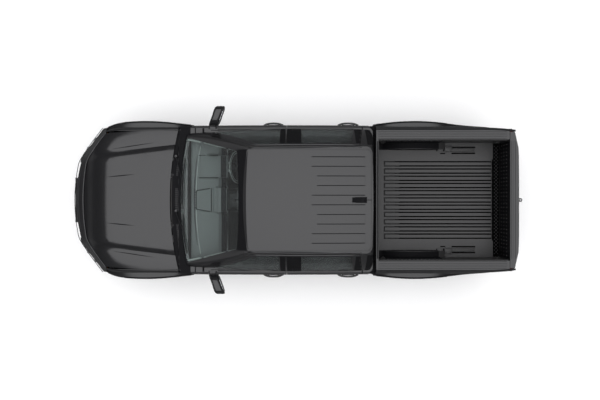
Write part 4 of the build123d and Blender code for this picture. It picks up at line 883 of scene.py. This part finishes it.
def buildTyreMesh():
    # a tyre about Z: sidewalls and carcass spun, tread blocks set round it
    r, w = wheel["radius"] / 1000, wheel["tyreHalf"] / 1000
    floor = r - wheel["treadDepth"] / 1000
    profile = [(0.2295, -0.104), (0.242, -0.1055), (0.262, -0.118), (0.285, -0.1245), (0.2855, -0.1262),
               (0.292, -0.1262), (0.2925, -w + 0.0005),
               (0.325, -w + 0.0012), (0.352, -0.1225), (0.372, -0.117), (floor, -0.103), (floor, 0),
               (floor, 0.103), (0.372, 0.117),
               (0.352, 0.1225), (0.325, w - 0.0012), (0.2925, w - 0.0005), (0.292, 0.1262), (0.2855, 0.1262),
               (0.285, 0.1245),
               (0.262, 0.118), (0.242, 0.1055), (0.2295, 0.104)]
    carcass = spunProfile("tyreCarcass", profile, 96)
    step = 2 * pi / wheel["blocksRound"]
    unit = []
    for row, (middle, width) in enumerate(wheel["blockRows"]):
        shift = step * 0.5 * (row % 2)
        block = roundedBox("treadBlock", (floor - 0.004, -r * step * 0.41, (middle - width / 2) / 1000),
                           (r, r * step * 0.41, (middle + width / 2) / 1000), 0.0022, 1)
        editAll(block)
        bpy.ops.transform.rotate(value=radians(16) * (-1 if middle < 0 else 1), orient_axis="X",
                                 center_override=(r, 0, middle / 1000))
        bpy.ops.transform.rotate(value=shift, orient_axis="Z", center_override=(0, 0, 0))
        editDone()
        unit.append(block)
    lug = roundedBox("shoulderLug", (0.352, -r * step * 0.3, 0.108), (0.3865, r * step * 0.3, 0.1235), 0.002,
                     1)
    unit += [lug, copied(lug, "shoulderLugInner", Matrix.Scale(-1, 4, (0, 0, 1)))]
    tread = joined(unit, "tread")
    bpy.ops.object.empty_add(location=(0, 0, 0), rotation=(0, 0, step))
    turn = bpy.context.object
    ring = tread.modifiers.new("ring", "ARRAY")
    ring.use_relative_offset = False
    ring.use_object_offset = True
    ring.offset_object = turn
    ring.count = wheel["blocksRound"]
    applyAll(tread)
    bpy.data.objects.remove(turn)
    return joined([carcass, tread], "tyre")


def wheelMatrix(s, side):
    # from a wheel about Z, outer face up, to its place on the truck
    return Matrix.Translation(at(s, side * wheel["halfTrack"],
                                 wheel["radius"])) @ Matrix.Rotation(-side * pi / 2, 4, "X")


def buildWheels():
    tyre = buildTyreMesh()
    disc = spunProfile("brakeDisc", [(0.06, 0.0), (0.085, 0.0), (0.09, -0.028), (0.16, -0.03), (0.16, -0.054),
                                     (0.09, -0.056),
                                     (0.075, -0.02), (0.06, -0.018), (0.06, 0.0)], 48)
    drum = spunProfile("brakeDrum", [(0.04, 0.006), (0.13, 0.006), (0.14, -0.002), (0.142, -0.055),
                                     (0.05, -0.06), (0.04, -0.04), (0.04, 0.006)], 48)
    cap = spunProfile("hubCap", [(0, 0.079), (0.02, 0.079), (0.031, 0.076), (0.034, 0.068), (0.034, 0.062),
                                 (0, 0.062)], 32)
    nuts = []
    for i in range(6):
        angle = 2 * pi * i / 6
        x, y = wheel["nutCircle"] * cos(angle), wheel["nutCircle"] * sin(angle)
        nuts.append(roundBar("wheelNut", (x, y, 0.054), (x, y, 0.07), 0.0095, 6, 0.001))
    nut = joined(nuts, "wheelNuts")
    valve = roundBar("valveStem", (0.196, 0.02, 0.085), (0.188, 0.02, 0.112), 0.004, 10, 0.001)
    for s, place in ((frontAxle, "front"), (rearAxle, "rear")):
        for word, side in sides.items():
            body = f"{place}_wheel_{word}"
            move = wheelMatrix(s, side)
            label = place.title() + word.title()
            turned = finishPiece(copied(tyre, "tyre" + label, move), "rubber", body)
            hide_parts(f"{place}_tyre_{word}")
            brake, metal = (disc, "disc") if place == "front" else (drum, "iron")
            for part, name, look in ((brake, "brake", metal), (cap, "hubCap", "plastic"),
                                     (nut, "wheelNuts", "chrome"), (valve, "valve", "rubber")):
                finishPiece(copied(part, name + label, move), look, body)
    for spare in (tyre, disc, drum, cap, nut, valve):
        bpy.data.objects.remove(spare)
    caliper = box("brakeCaliper", (1010, 1078), (742, 796), (330, 460), 12, 3)
    pads = box("padSpring", (1004, 1012), (750, 788), (360, 430), 2)
    onBothSides(joined([caliper, pads], "brakeCaliper"), "iron", "steering_knuckle")
    onBothSides(bar("discShield", (frontAxle, 742, 395), (frontAxle, 745, 395), 150, 1, 48), "wax",
                "steering_knuckle")
    onBothSides(bar("trackRod", (735, 320, 308), (800, 640, 312), 9), "wax")


buildWheels()
print("wheels done")


# cabin: padded seats, dashboard detail, controls and linings

cabin = {
    "seatVoxel": 0.011,
    "benchVoxel": 0.014,
    "pressure": 4,
    "frames": 20,
    "seatCap": 24,
    "stitchRadius": 1.6,
    "backTilt": 13.4,
    "benchTilt": 10,
    "seatMiddle": 395,
    "wheelMiddle": -400,
    "wheelLean": 0.45,
    "dialPlaces": (-450, -350),
    "ventPlaces": (-640, -200, 200, 640),
}


def tilted(obj, pivot, angle):
    # leans a piece back about a line across the truck
    middle = Matrix.Translation(at(*pivot))
    obj.data.transform(middle @ Matrix.Rotation(-radians(angle), 4, "Y") @ middle.inverted())
    return obj


def stuffed(obj, voxel, cap, sewn):
    # one padded piece: swells under cloth simulation, held down where it is sewn
    activate(obj)
    remesh = obj.modifiers.new("cells", "REMESH")
    remesh.mode = "VOXEL"
    remesh.voxel_size = voxel
    applyAll(obj)
    obj.vertex_groups.new(name="sewn").add([v.index for v in obj.data.vertices if sewn(v.co)], 1.0, "REPLACE")
    rest = [v.co.copy() for v in obj.data.vertices]
    cloth = obj.modifiers.new("stuffing", "CLOTH")
    cloth.settings.use_pressure = True
    cloth.settings.uniform_pressure_force = cabin["pressure"]
    cloth.settings.effector_weights.gravity = 0
    cloth.settings.vertex_group_mass = "sewn"
    cloth.settings.quality = 4
    cloth.settings.tension_stiffness = 12
    cloth.settings.compression_stiffness = 12
    for step in range(1, cabin["frames"] + 1):
        bpy.context.scene.frame_set(step)
    done = obj.evaluated_get(bpy.context.evaluated_depsgraph_get())
    swollen = [v.co.copy() for v in done.data.vertices]
    obj.modifiers.remove(cloth)
    bpy.context.scene.frame_set(1)
    for vertex, start, end in zip(obj.data.vertices, rest, swollen):
        move = end - start
        if move.length > cap / 1000:
            move = move.normalized() * cap / 1000
        vertex.co = start + move
    rounder = obj.modifiers.new("rounder", "SMOOTH")
    rounder.iterations = 2
    finer = obj.modifiers.new("finer", "SUBSURF")
    finer.levels = finer.render_levels = 1
    applyAll(obj)
    return smooth(obj, 180)


def near(value, places, reach):
    return min(abs(value - place) for place in places) < reach


def buildSeat():
    # the left front seat, then its twin
    middle = cabin["seatMiddle"]
    cushion = [box("cushionCore", (2080, 2550), (middle - 205, middle + 205), (650, 775), 50, 4),
               box("bolster", (2085, 2545), (middle - 232, middle - 165), (650, 797), 32, 4),
               box("bolster", (2085, 2545), (middle + 165, middle + 232), (650, 797), 32, 4)]
    cushion = joined(cushion, "seatCushion")
    seams = [at(0, y, 0).y for y in (240, 550)]
    rows = [at(s, 0, 0).x for s in (2200, 2310, 2420)]
    stuffed(cushion, cabin["seatVoxel"], cabin["seatCap"],
            lambda co: co.z < 0.665 or co.z > 0.74 and (
                near(co.y, seams, 0.006) or abs(co.y - middle / 1000) < 0.15 and near(co.x, rows, 0.006)))
    back = [box("backCore", (2505, 2595), (middle - 200, middle + 200), (700, 1300), 44, 4),
            box("backBolster", (2478, 2590), (middle - 228, middle - 168), (705, 1180), 30, 4),
            box("backBolster", (2478, 2590), (middle + 168, middle + 228), (705, 1180), 30, 4)]
    back = joined(back, "seatBack")
    levels = (0.86, 0.98, 1.10)
    stuffed(back, cabin["seatVoxel"], cabin["seatCap"],
            lambda co: co.x < at(2590, 0, 0).x or co.x > at(2525, 0, 0).x and (
                near(co.y, seams, 0.006) or abs(co.y - middle / 1000) < 0.15 and near(co.z, levels, 0.006)))
    tilted(back, (2550, middle, 700), cabin["backTilt"])
    rest = stuffed(box("headrest", (2668, 2742), (middle - 122, middle + 122), (1322, 1480), 34, 4),
                   cabin["seatVoxel"], 14,
                   lambda co: co.z < 1.335)
    for piece, name in ((cushion, "seatCushion"), (back, "seatBack"), (rest, "headrest")):
        twin = mirroredCopy(piece, name + "Right")
        piece.name = name + "Left"
        for obj in (piece, twin):
            finishPiece(obj, "fabric")
            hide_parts("front_seats")
    posts = [bar("restPost", (2700, y, 1270), (2706, y, 1345), 6, vertices=12) for y in (335, 455)]
    onBothSides(joined(posts, "restPosts"), "chrome")
    base = [box("seatBase", (2120, 2520), (240, 550), (600, 655), 10),
            box("seatRail", (2100, 2540), (250, 280), (566, 602), 3),
            box("seatRail", (2100, 2540), (510, 540), (566, 602), 3)]
    onBothSides(joined(base, "seatBase"), "darkTrim")
    onBothSides(rod("seatLever", [(2090, 300, 612), (2050, 330, 606), (2050, 460, 606), (2090, 490, 612)], 6),
                "wax")
    onBothSides(rod("seatbelt", [(2560, 742, 1400), (2552, 700, 1150), (2520, 645, 800)], 3), "carpet")
    for word, side in sides.items():
        stitches = [rod("stitching", [(s, side * y, 788) for s in (2120, 2300, 2500)], cabin["stitchRadius"])
                    for y in (243, 547)]
        finishPiece(joined(stitches, f"stitching{word.title()}"), "trim")


def buildBench():
    cushion = box("benchCushion", (2975, 3340), (-630, 630), (650, 775), 50, 4)
    seams = (-0.21, 0.21)
    stuffed(cushion, cabin["benchVoxel"], cabin["seatCap"],
            lambda co: co.z < 0.665 or co.z > 0.74 and (
                near(co.y, seams, 0.009) or abs(co.x - at(3150, 0, 0).x) < 0.008))
    back = box("benchBack", (3345, 3432), (-630, 630), (700, 1270), 42, 4)
    stuffed(back, cabin["benchVoxel"], cabin["seatCap"],
            lambda co: co.x < at(3428, 0, 0).x or co.x > at(3370, 0, 0).x and (
                near(co.y, seams, 0.009) or near(co.z, (0.9, 1.08), 0.008)))
    tilted(back, (3390, 0, 700), cabin["benchTilt"])
    pieces = [cushion, back]
    for index, y in enumerate((-400, 0, 400)):
        rest = box(f"benchRest{index}", (3450, 3520), (y - 118, y + 118), (1300, 1455), 32, 4)
        pieces.append(stuffed(rest, cabin["benchVoxel"], 12, lambda co: co.z < 1.32))
    for piece in pieces:
        finishPiece(piece, "fabric")
        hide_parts("rear_bench")
    finishPiece(box("benchFoot", (3020, 3330), (-560, 560), (562, 655), 8), "darkTrim")
    buckles = [box("buckle", (3325, 3345), (y - 14, y + 14), (770, 815), 4) for y in (-220, -160, 160, 220)]
    finishPiece(joined(buckles, "buckles"), "plastic")


def buildDash():
    finishPiece(draped("dashPad", ["dashboard"], (1500, 1800), (-722, 722), (16, 60), 1.5, 3, 1.12),
                "dashTop")
    finishPiece(rod("demister", [(1512 + 66 * (y / 700) ** 2, y, 1146) for y in range(-640, 641, 80)], 7),
                "darkTrim")
    finishPiece(rod("demisterRim", [(1532 + 66 * (y / 700) ** 2, y, 1150) for y in range(-640, 641, 80)], 4),
                "pale")
    fins = [box("demisterFin", (1514, 1528), (y - 5, y + 5), (1144, 1152), 1) for y in range(-120, 121, 30)]
    finishPiece(joined(fins, "demisterFins"), "shadeAndGapBlack")
    hood = [box("screenSurround", (1530, 1742), (-146, 146), (1122, 1152), 10, 3),
            box("screenBrow", (1742, 1800), (-150, 150), (1134, 1160), 8, 3)]
    finishPiece(joined(hood, "screenHood"), "dashTop")
    for name, points in (("screenSeamLeft", [(1535, 110, 1152), (1700, 138, 1152)]),
                         ("screenSeamRight", [(1535, -110, 1152), (1700, -138, 1152)]),
                         ("screenSeamFront", [(1535, -110, 1152), (1535, 110, 1152)]),
                         ("screenSeamRear", [(1716, -140, 1152), (1716, 140, 1152)])):
        finishPiece(rod(name, points, 5, smoothCurve=False), "shadeAndGapBlack")
    screen = box("screen", (1900, 1904), (-128, 128), (1010, 1150), 2)
    finishPiece(screen, "screen")
    keys = [box("key", (1901, 1909), (y - 16, y + 16), (982, 996), 3) for y in (-100, -60, -20, 20, 60, 100)]
    finishPiece(joined(keys, "screenKeys"), "plastic")
    finishPiece(box("binnacleBrow", (1587, 1830), (-526, -270), (1166, 1172), 3), "dashTop")
    finishPiece(draped("dashRear", ["dashboard"], (1832, 1896), (-722, 722), (8, 80), 1.2, 1.2, 1.1),
                "matteBlack")
    # black rods along the instrument binnacle: painted shade in its grooves
    for y in (-530, -266):
        finishPiece(rod("binnacleGrooveShade", [(1570, y, 1150), (1700, y + (6 if y < -400 else -6), 1168),
                                           (1800, y, 1172)], 6), "shadeAndGapBlack")
    dials = [bar("dial", (1914, y, 1128), (1920, y, 1126), 36, 2, 32) for y in cabin["dialPlaces"]]
    finishPiece(joined(dials, "dials"), "screen")
    rings = [bar("dialRing", (1914, y, 1128), (1917, y, 1127), 39, 1, 32) for y in cabin["dialPlaces"]]
    finishPiece(joined(rings, "dialRings"), "chrome")
    vents = [bar("ventRing", (1880, y, 1040), (1892, y, 1036), 42, 4, 32) for y in cabin["ventPlaces"]]
    finishPiece(joined(vents, "ventRings"), "plastic")
    blades = [box("ventBlade", (1890, 1896), (y - 32, y + 32), (z, z + 4), 1) for y in cabin["ventPlaces"]
              for z in (1016, 1028, 1040, 1052)]
    finishPiece(joined(blades, "ventBlades"), "shadeAndGapBlack")
    gloveBox = box("gloveBox", (1868, 1874), (300, 620), (870, 985), 6)
    finishPiece(gloveBox, "darkTrim")
    finishPiece(box("gloveHandle", (1876, 1884), (430, 490), (960, 974), 4), "plastic")
    finishPiece(box("dashTrimLine", (1888, 1896), (-700, 700), (992, 998), 2), "alloy")


def buildControls():
    lean, column = cabin["wheelLean"], cabin["wheelMiddle"]
    direction = Vector((-cos(lean), 0, sin(lean)))
    centre = at(2010, column, 985)
    finishPiece(roundBar("wheelPad", centre + direction * 0.018, centre + direction * 0.036, 0.055, 32,
                         0.006), "plastic")
    turned = direction.to_track_quat("Z", "Y").to_matrix().to_4x4()
    # the leather rim, and two pale rings lifted just above it that are painted highlights on the rim
    for name, major, minor, facets, lift, look in (("wheelRim", 0.182, 0.0162, 14, 0, "leather"),
                                                  ("rimHighlightOuter", 0.194, 0.0045, 10, 0.012, "pale"),
                                                  ("rimHighlightInner", 0.170, 0.0045, 10, 0.012, "pale")):
        bpy.ops.mesh.primitive_torus_add(major_radius=major, minor_radius=minor,
                                         major_segments=64, minor_segments=facets)
        ring = bpy.context.object
        ring.name = name
        ring.data.transform(Matrix.Translation(centre + direction * lift) @ turned)
        finishPiece(smooth(ring), look)
    stalks = [bar("stalk", (1975, column + side * 40, 1010), (1968, column + side * 165, 1040), 7, 3)
              for side in (-1, 1)]
    finishPiece(joined(stalks, "stalks"), "plastic")
    lever = [bar("shiftStem", (2150, 0, 866), (2140, 0, 950), 9),
             bar("shiftKnob", (2141, 0, 940), (2136, 0, 990), 22, 10, 28),
             box("shiftGaiter", (2100, 2200), (-45, 45), (868, 884), 14, 3)]
    finishPiece(joined(lever, "shifter"), "leather")
    finishPiece(box("handbrake", (2300, 2520), (40, 66), (880, 906), 10, 3), "leather")
    cups = [bar("cupRing", (s, 0, 868), (s, 0, 874), 42, 2, 32) for s in (2420, 2520)]
    finishPiece(joined(cups, "cupRings"), "chrome")
    # black discs at the bottom of the cup holders: painted shade inside them
    wellShades = [bar("cupWellShade", (s, 0, 873), (s, 0, 876), 36, 1, 32) for s in (2420, 2520)]
    finishPiece(joined(wellShades, "cupWellShades"), "shadeAndGapBlack")
    armrest = box("armrest", (2600, 2890), (-92, 92), (872, 902), 14, 3)
    finishPiece(armrest, "leather")
    pedals = []
    for y, width in ((-330, 40), (-430, 70)):
        pedals.append(box("pedal", (1560, 1575), (y - width / 2, y + width / 2), (640, 720), 5))
        pedals.append(bar("pedalArm", (1560, y, 700), (1500, y, 880), 8))
    finishPiece(joined(pedals, "pedals"), "rubber")
    mirror = [box("cabinMirror", (2068, 2090), (-110, 110), (1690, 1750), 10, 3),
              bar("mirrorStem", (2070, 0, 1740), (2040, 0, 1790), 7)]
    finishPiece(joined(mirror, "cabinMirror"), "plastic")
    visors = [box("sunVisor", (2130, 2300), (side * 330 - 165, side * 330 + 165), (1768, 1780), 5, 3)
              for side in (-1, 1)]
    finishPiece(joined(visors, "sunVisors"), "headliner")


def buildLinings():
    # linings just inside the shell and the doors
    floorMat = [box("floorMat", (1500, 2900), (y0, y1), (561, 568), 3)
                for y0, y1 in ((-690, -150), (150, 690))]
    finishPiece(joined(floorMat, "carpetFront"), "carpet")
    finishPiece(box("tunnelCarpet", (1480, 2990), (-144, 144), (655, 664), 3), "carpet")
    finishPiece(draped("headlining", ["roof_panel", "cab_shell"], (2200, 3540), (-530, 530), (40, 30), -56, 2,
                       1.8), "headliner")
    for body, s0, s1 in (("front_door", 1530, 2570), ("rear_door", 2650, 3470)):
        card = box("doorCard", (s0, s1), (784, 794), (600, 1150), 6, 3)
        rest = box("doorArmrest", (s0 + 340, s1 - 120), (742, 786), (880, 920), 14, 4)
        pocket = box("doorPocket", (s0 + 120, s1 - 160), (762, 786), (620, 720), 8, 3)
        pull = rod("doorPull", [(s0 + 420, 786, 950), (s0 + 440, 756, 955), (s0 + 560, 756, 955),
                                (s0 + 580, 786, 950)], 7)
        onBothSides(card, "darkTrim", body)
        onBothSides(joined([rest, pocket], "doorRest"), "leather", body)
        onBothSides(pull, "chrome", body)


buildSeat()
buildBench()
buildDash()
buildControls()
buildLinings()
print("cabin done")


# engine bay and underbody

bay = {
    "coverRibPitch": 60,
    "radiatorFinPitch": 38,
    "hoseRadius": 19,
}


def buildBay():
    cover = [box("engineCover", (600, 1120), (-230, 230), (985, 1022), 18, 3)]
    cover += [box("coverRib", (640, 1080), (y - 8, y + 8), (1018, 1028), 4)
              for y in range(-180, 181, bay["coverRibPitch"])]
    finishPiece(joined(cover, "engineCover"), "plastic")
    battery = [box("battery", (620, 800), (340, 520), (820, 990), 6),
               bar("terminal", (660, 380, 985), (660, 380, 1005), 10),
               bar("terminal", (660, 480, 985), (660, 480, 1005), 10)]
    finishPiece(joined(battery, "battery"), "plastic")
    finishPiece(box("batteryTray", (600, 820), (325, 535), (680, 825), 6), "wax")
    airBox = [box("airBox", (620, 860), (-560, -330), (820, 980), 14, 3),
              rod("airPipe", [(760, -330, 930), (760, -280, 960), (820, -180, 985)], 34)]
    finishPiece(joined(airBox, "airBox"), "plastic")
    radiator = [box("radiatorTank", (330, 380), (-360, 360), (960, 1000), 8),
                box("radiatorTank", (330, 380), (-360, 360), (690, 720), 8)]
    finishPiece(joined(radiator, "radiatorTanks"), "plastic")
    fins = [box("radiatorFin", (340, 372), (y - 3, y + 3), (718, 962), 0.8, 1)
            for y in range(-342, 343, bay["radiatorFinPitch"])]
    finishPiece(joined(fins, "radiatorFins"), "alloy")
    finishPiece(box("coolantBottle", (900, 1040), (420, 560), (860, 980), 20, 4), "plate")
    reservoir = [box("brakeReservoir", (1180, 1270), (-440, -360), (960, 1030), 12, 3),
                 bar("brakeServo", (1290, -400, 940), (1200, -400, 940), 78, 8, 40)]
    finishPiece(joined(reservoir, "brakeServo"), "wax")
    hoses = [rod("radiatorHose", [(378, 200, 970), (450, 190, 985), (530, 120, 960)], bay["hoseRadius"]),
             rod("lowerHose", [(378, -220, 700), (440, -220, 690), (530, -160, 640)], bay["hoseRadius"])]
    finishPiece(joined(hoses, "radiatorHoses"), "rubber")


def buildUnderbody():
    for side, word in ((1, "Left"), (-1, "Right")):
        bolts = []
        for s in (4125, 4215):
            bolts.append(rod("axleBolt", [(s, side * 452, 350), (s, side * 452, 480), (s, side * 520, 480),
                                          (s, side * 520, 350)], 7, smoothCurve=False))
        finishPiece(joined(bolts, f"axleBolts{word}"), "wax")
        damper = [bar("damperBody", (4260, side * 340, 400), (4360, side * 330, 600), 26, 3),
                  bar("damperRod", (4330, side * 333, 540), (4420, side * 325, 720), 11)]
        finishPiece(joined(damper, f"damper{word}"), "wax")
        turns = [(frontAxle + 48 * cos(a * 0.6), side * (560 + 48 * sin(a * 0.6) - a * 0.9), 300 + a * 4.6)
                 for a in range(0, 64)]
        coil = [rod("coilSpring", turns, 8, resolution=1),
                bar("strut", (frontAxle, side * 565, 265), (frontAxle, side * 510, 620), 20, 2)]
        finishPiece(joined(coil, f"coilover{word}"), "wax")
    lines = [rod("brakeLine", [(1300, 355, 560), (2400, 352, 535), (3600, 350, 540), (4100, 300, 640),
                               (4160, 120, 480)], 4)]
    lines.append(rod("fuelLine", [(1200, 352, 545), (2400, 349, 528), (2600, 460, 500)], 4))
    finishPiece(joined(lines, "pipes"), "wax")
    hangers = [rod("exhaustHanger", [(s, -275, 452), (s, -300, 490), (s, -360, 500)], 7)
               for s in (2700, 3350)]
    finishPiece(joined(hangers, "exhaustHangers"), "rubber")
    onBothSides(slab("mudFlap", [(4650, 690, 620), (4650, 870, 620), (4654, 866, 300), (4654, 694, 300)], 6,
                     0.001, (-1, 0, 0)), "rubber")
    joints = [bar("shaftJoint", (s, 0, z), (s + 60, 0, z - 5), 50, 6, 32)
              for s, z in ((2310, 543), (3880, 402))]
    finishPiece(joined(joints, "shaftJoints"), "wax")


buildBay()
buildUnderbody()
print("engine bay and underbody done")


# floor, light and camera

studio = {
    "floorSize": 60,
    "floorColour": (0.92, 0.92, 0.92),
    "floorReflected": (0.03, 0.03, 0.032),
    "floorGlow": 0.06,
    "capRadiance": 1.7,
    "capHalfAngle": 28,
    "bandRadiance": 0.42,
    "gapRadiance": 0.035,
    "fillStrength": 2.4,
    "fillAngle": 110,
    "cameraStation": 2773,
    "cameraZ": 11.1,
    "lens": 50,
}


def floorFinish():
    # pale to the eye and to diffuse light, dim to reflections
    material, tree, shader = newMaterial("paleFloor")
    setInputs(shader, {"Roughness": 0.9, "Specular IOR Level": 0.0, "Emission Color": (1, 1, 1, 1),
                       "Emission Strength": studio["floorGlow"]})
    rays = addNode(tree, "ShaderNodeLightPath")
    colour = addNode(tree, "ShaderNodeMix",
                     {"Factor": rays.outputs["Is Glossy Ray"], "A": (*studio["floorColour"], 1),
                      "B": (*studio["floorReflected"], 1)}, data_type="RGBA")
    tree.links.new(colour.outputs["Result"], shader.inputs["Base Color"])
    return material


def makeStudio():
    deselectAll()
    bpy.ops.mesh.primitive_plane_add(size=studio["floorSize"], location=(0, 0, -0.001))
    floor = bpy.context.object
    floor.name = "studioFloor"
    freeze(floor)
    floor.data.materials.append(floorFinish())

    world = bpy.data.worlds.new("studioSky")
    bpy.context.scene.world = world
    world.use_nodes = True
    tree = world.node_tree
    background = tree.nodes["Background"]
    place = addNode(tree, "ShaderNodeTexCoord")
    split = addNode(tree, "ShaderNodeSeparateXYZ", {0: place.outputs["Generated"]})
    ramp = addNode(tree, "ShaderNodeValToRGB", {"Fac": split.outputs["Z"]})
    tree.links.new(ramp.outputs["Color"], background.inputs["Color"])
    cap = cos(radians(studio["capHalfAngle"]))
    stops = [(0.0, studio["bandRadiance"]), (0.22, studio["bandRadiance"]), (0.42, studio["gapRadiance"]),
             (cap - 0.035, studio["gapRadiance"]), (cap + 0.01, studio["capRadiance"]),
             (1.0, studio["capRadiance"])]
    top = studio["capRadiance"]
    marks = ramp.color_ramp.elements
    for place in [stop[0] for stop in stops[2:]]:
        marks.new(place)
    for mark, (place, value) in zip(marks, stops):
        mark.position = place
        mark.color = (value / top, value / top, value / top * 1.02, 1)
    background.inputs["Strength"].default_value = top

    sun = bpy.data.lights.new("fill", "SUN")
    sun.energy = studio["fillStrength"]
    sun.angle = radians(studio["fillAngle"])
    fill = bpy.data.objects.new("fill", sun)
    fill.visible_glossy = False
    bpy.context.collection.objects.link(fill)

    lens = bpy.data.cameras.new("camera")
    lens.lens = studio["lens"]
    camera = bpy.data.objects.new("camera", lens)
    camera.location = at(studio["cameraStation"], 0, studio["cameraZ"] * 1000)
    camera.rotation_euler = (0, 0, pi)
    bpy.context.collection.objects.link(camera)
    bpy.context.scene.camera = camera
    bpy.context.scene.view_settings.view_transform = "Standard"


makeStudio()
print("studio ready")
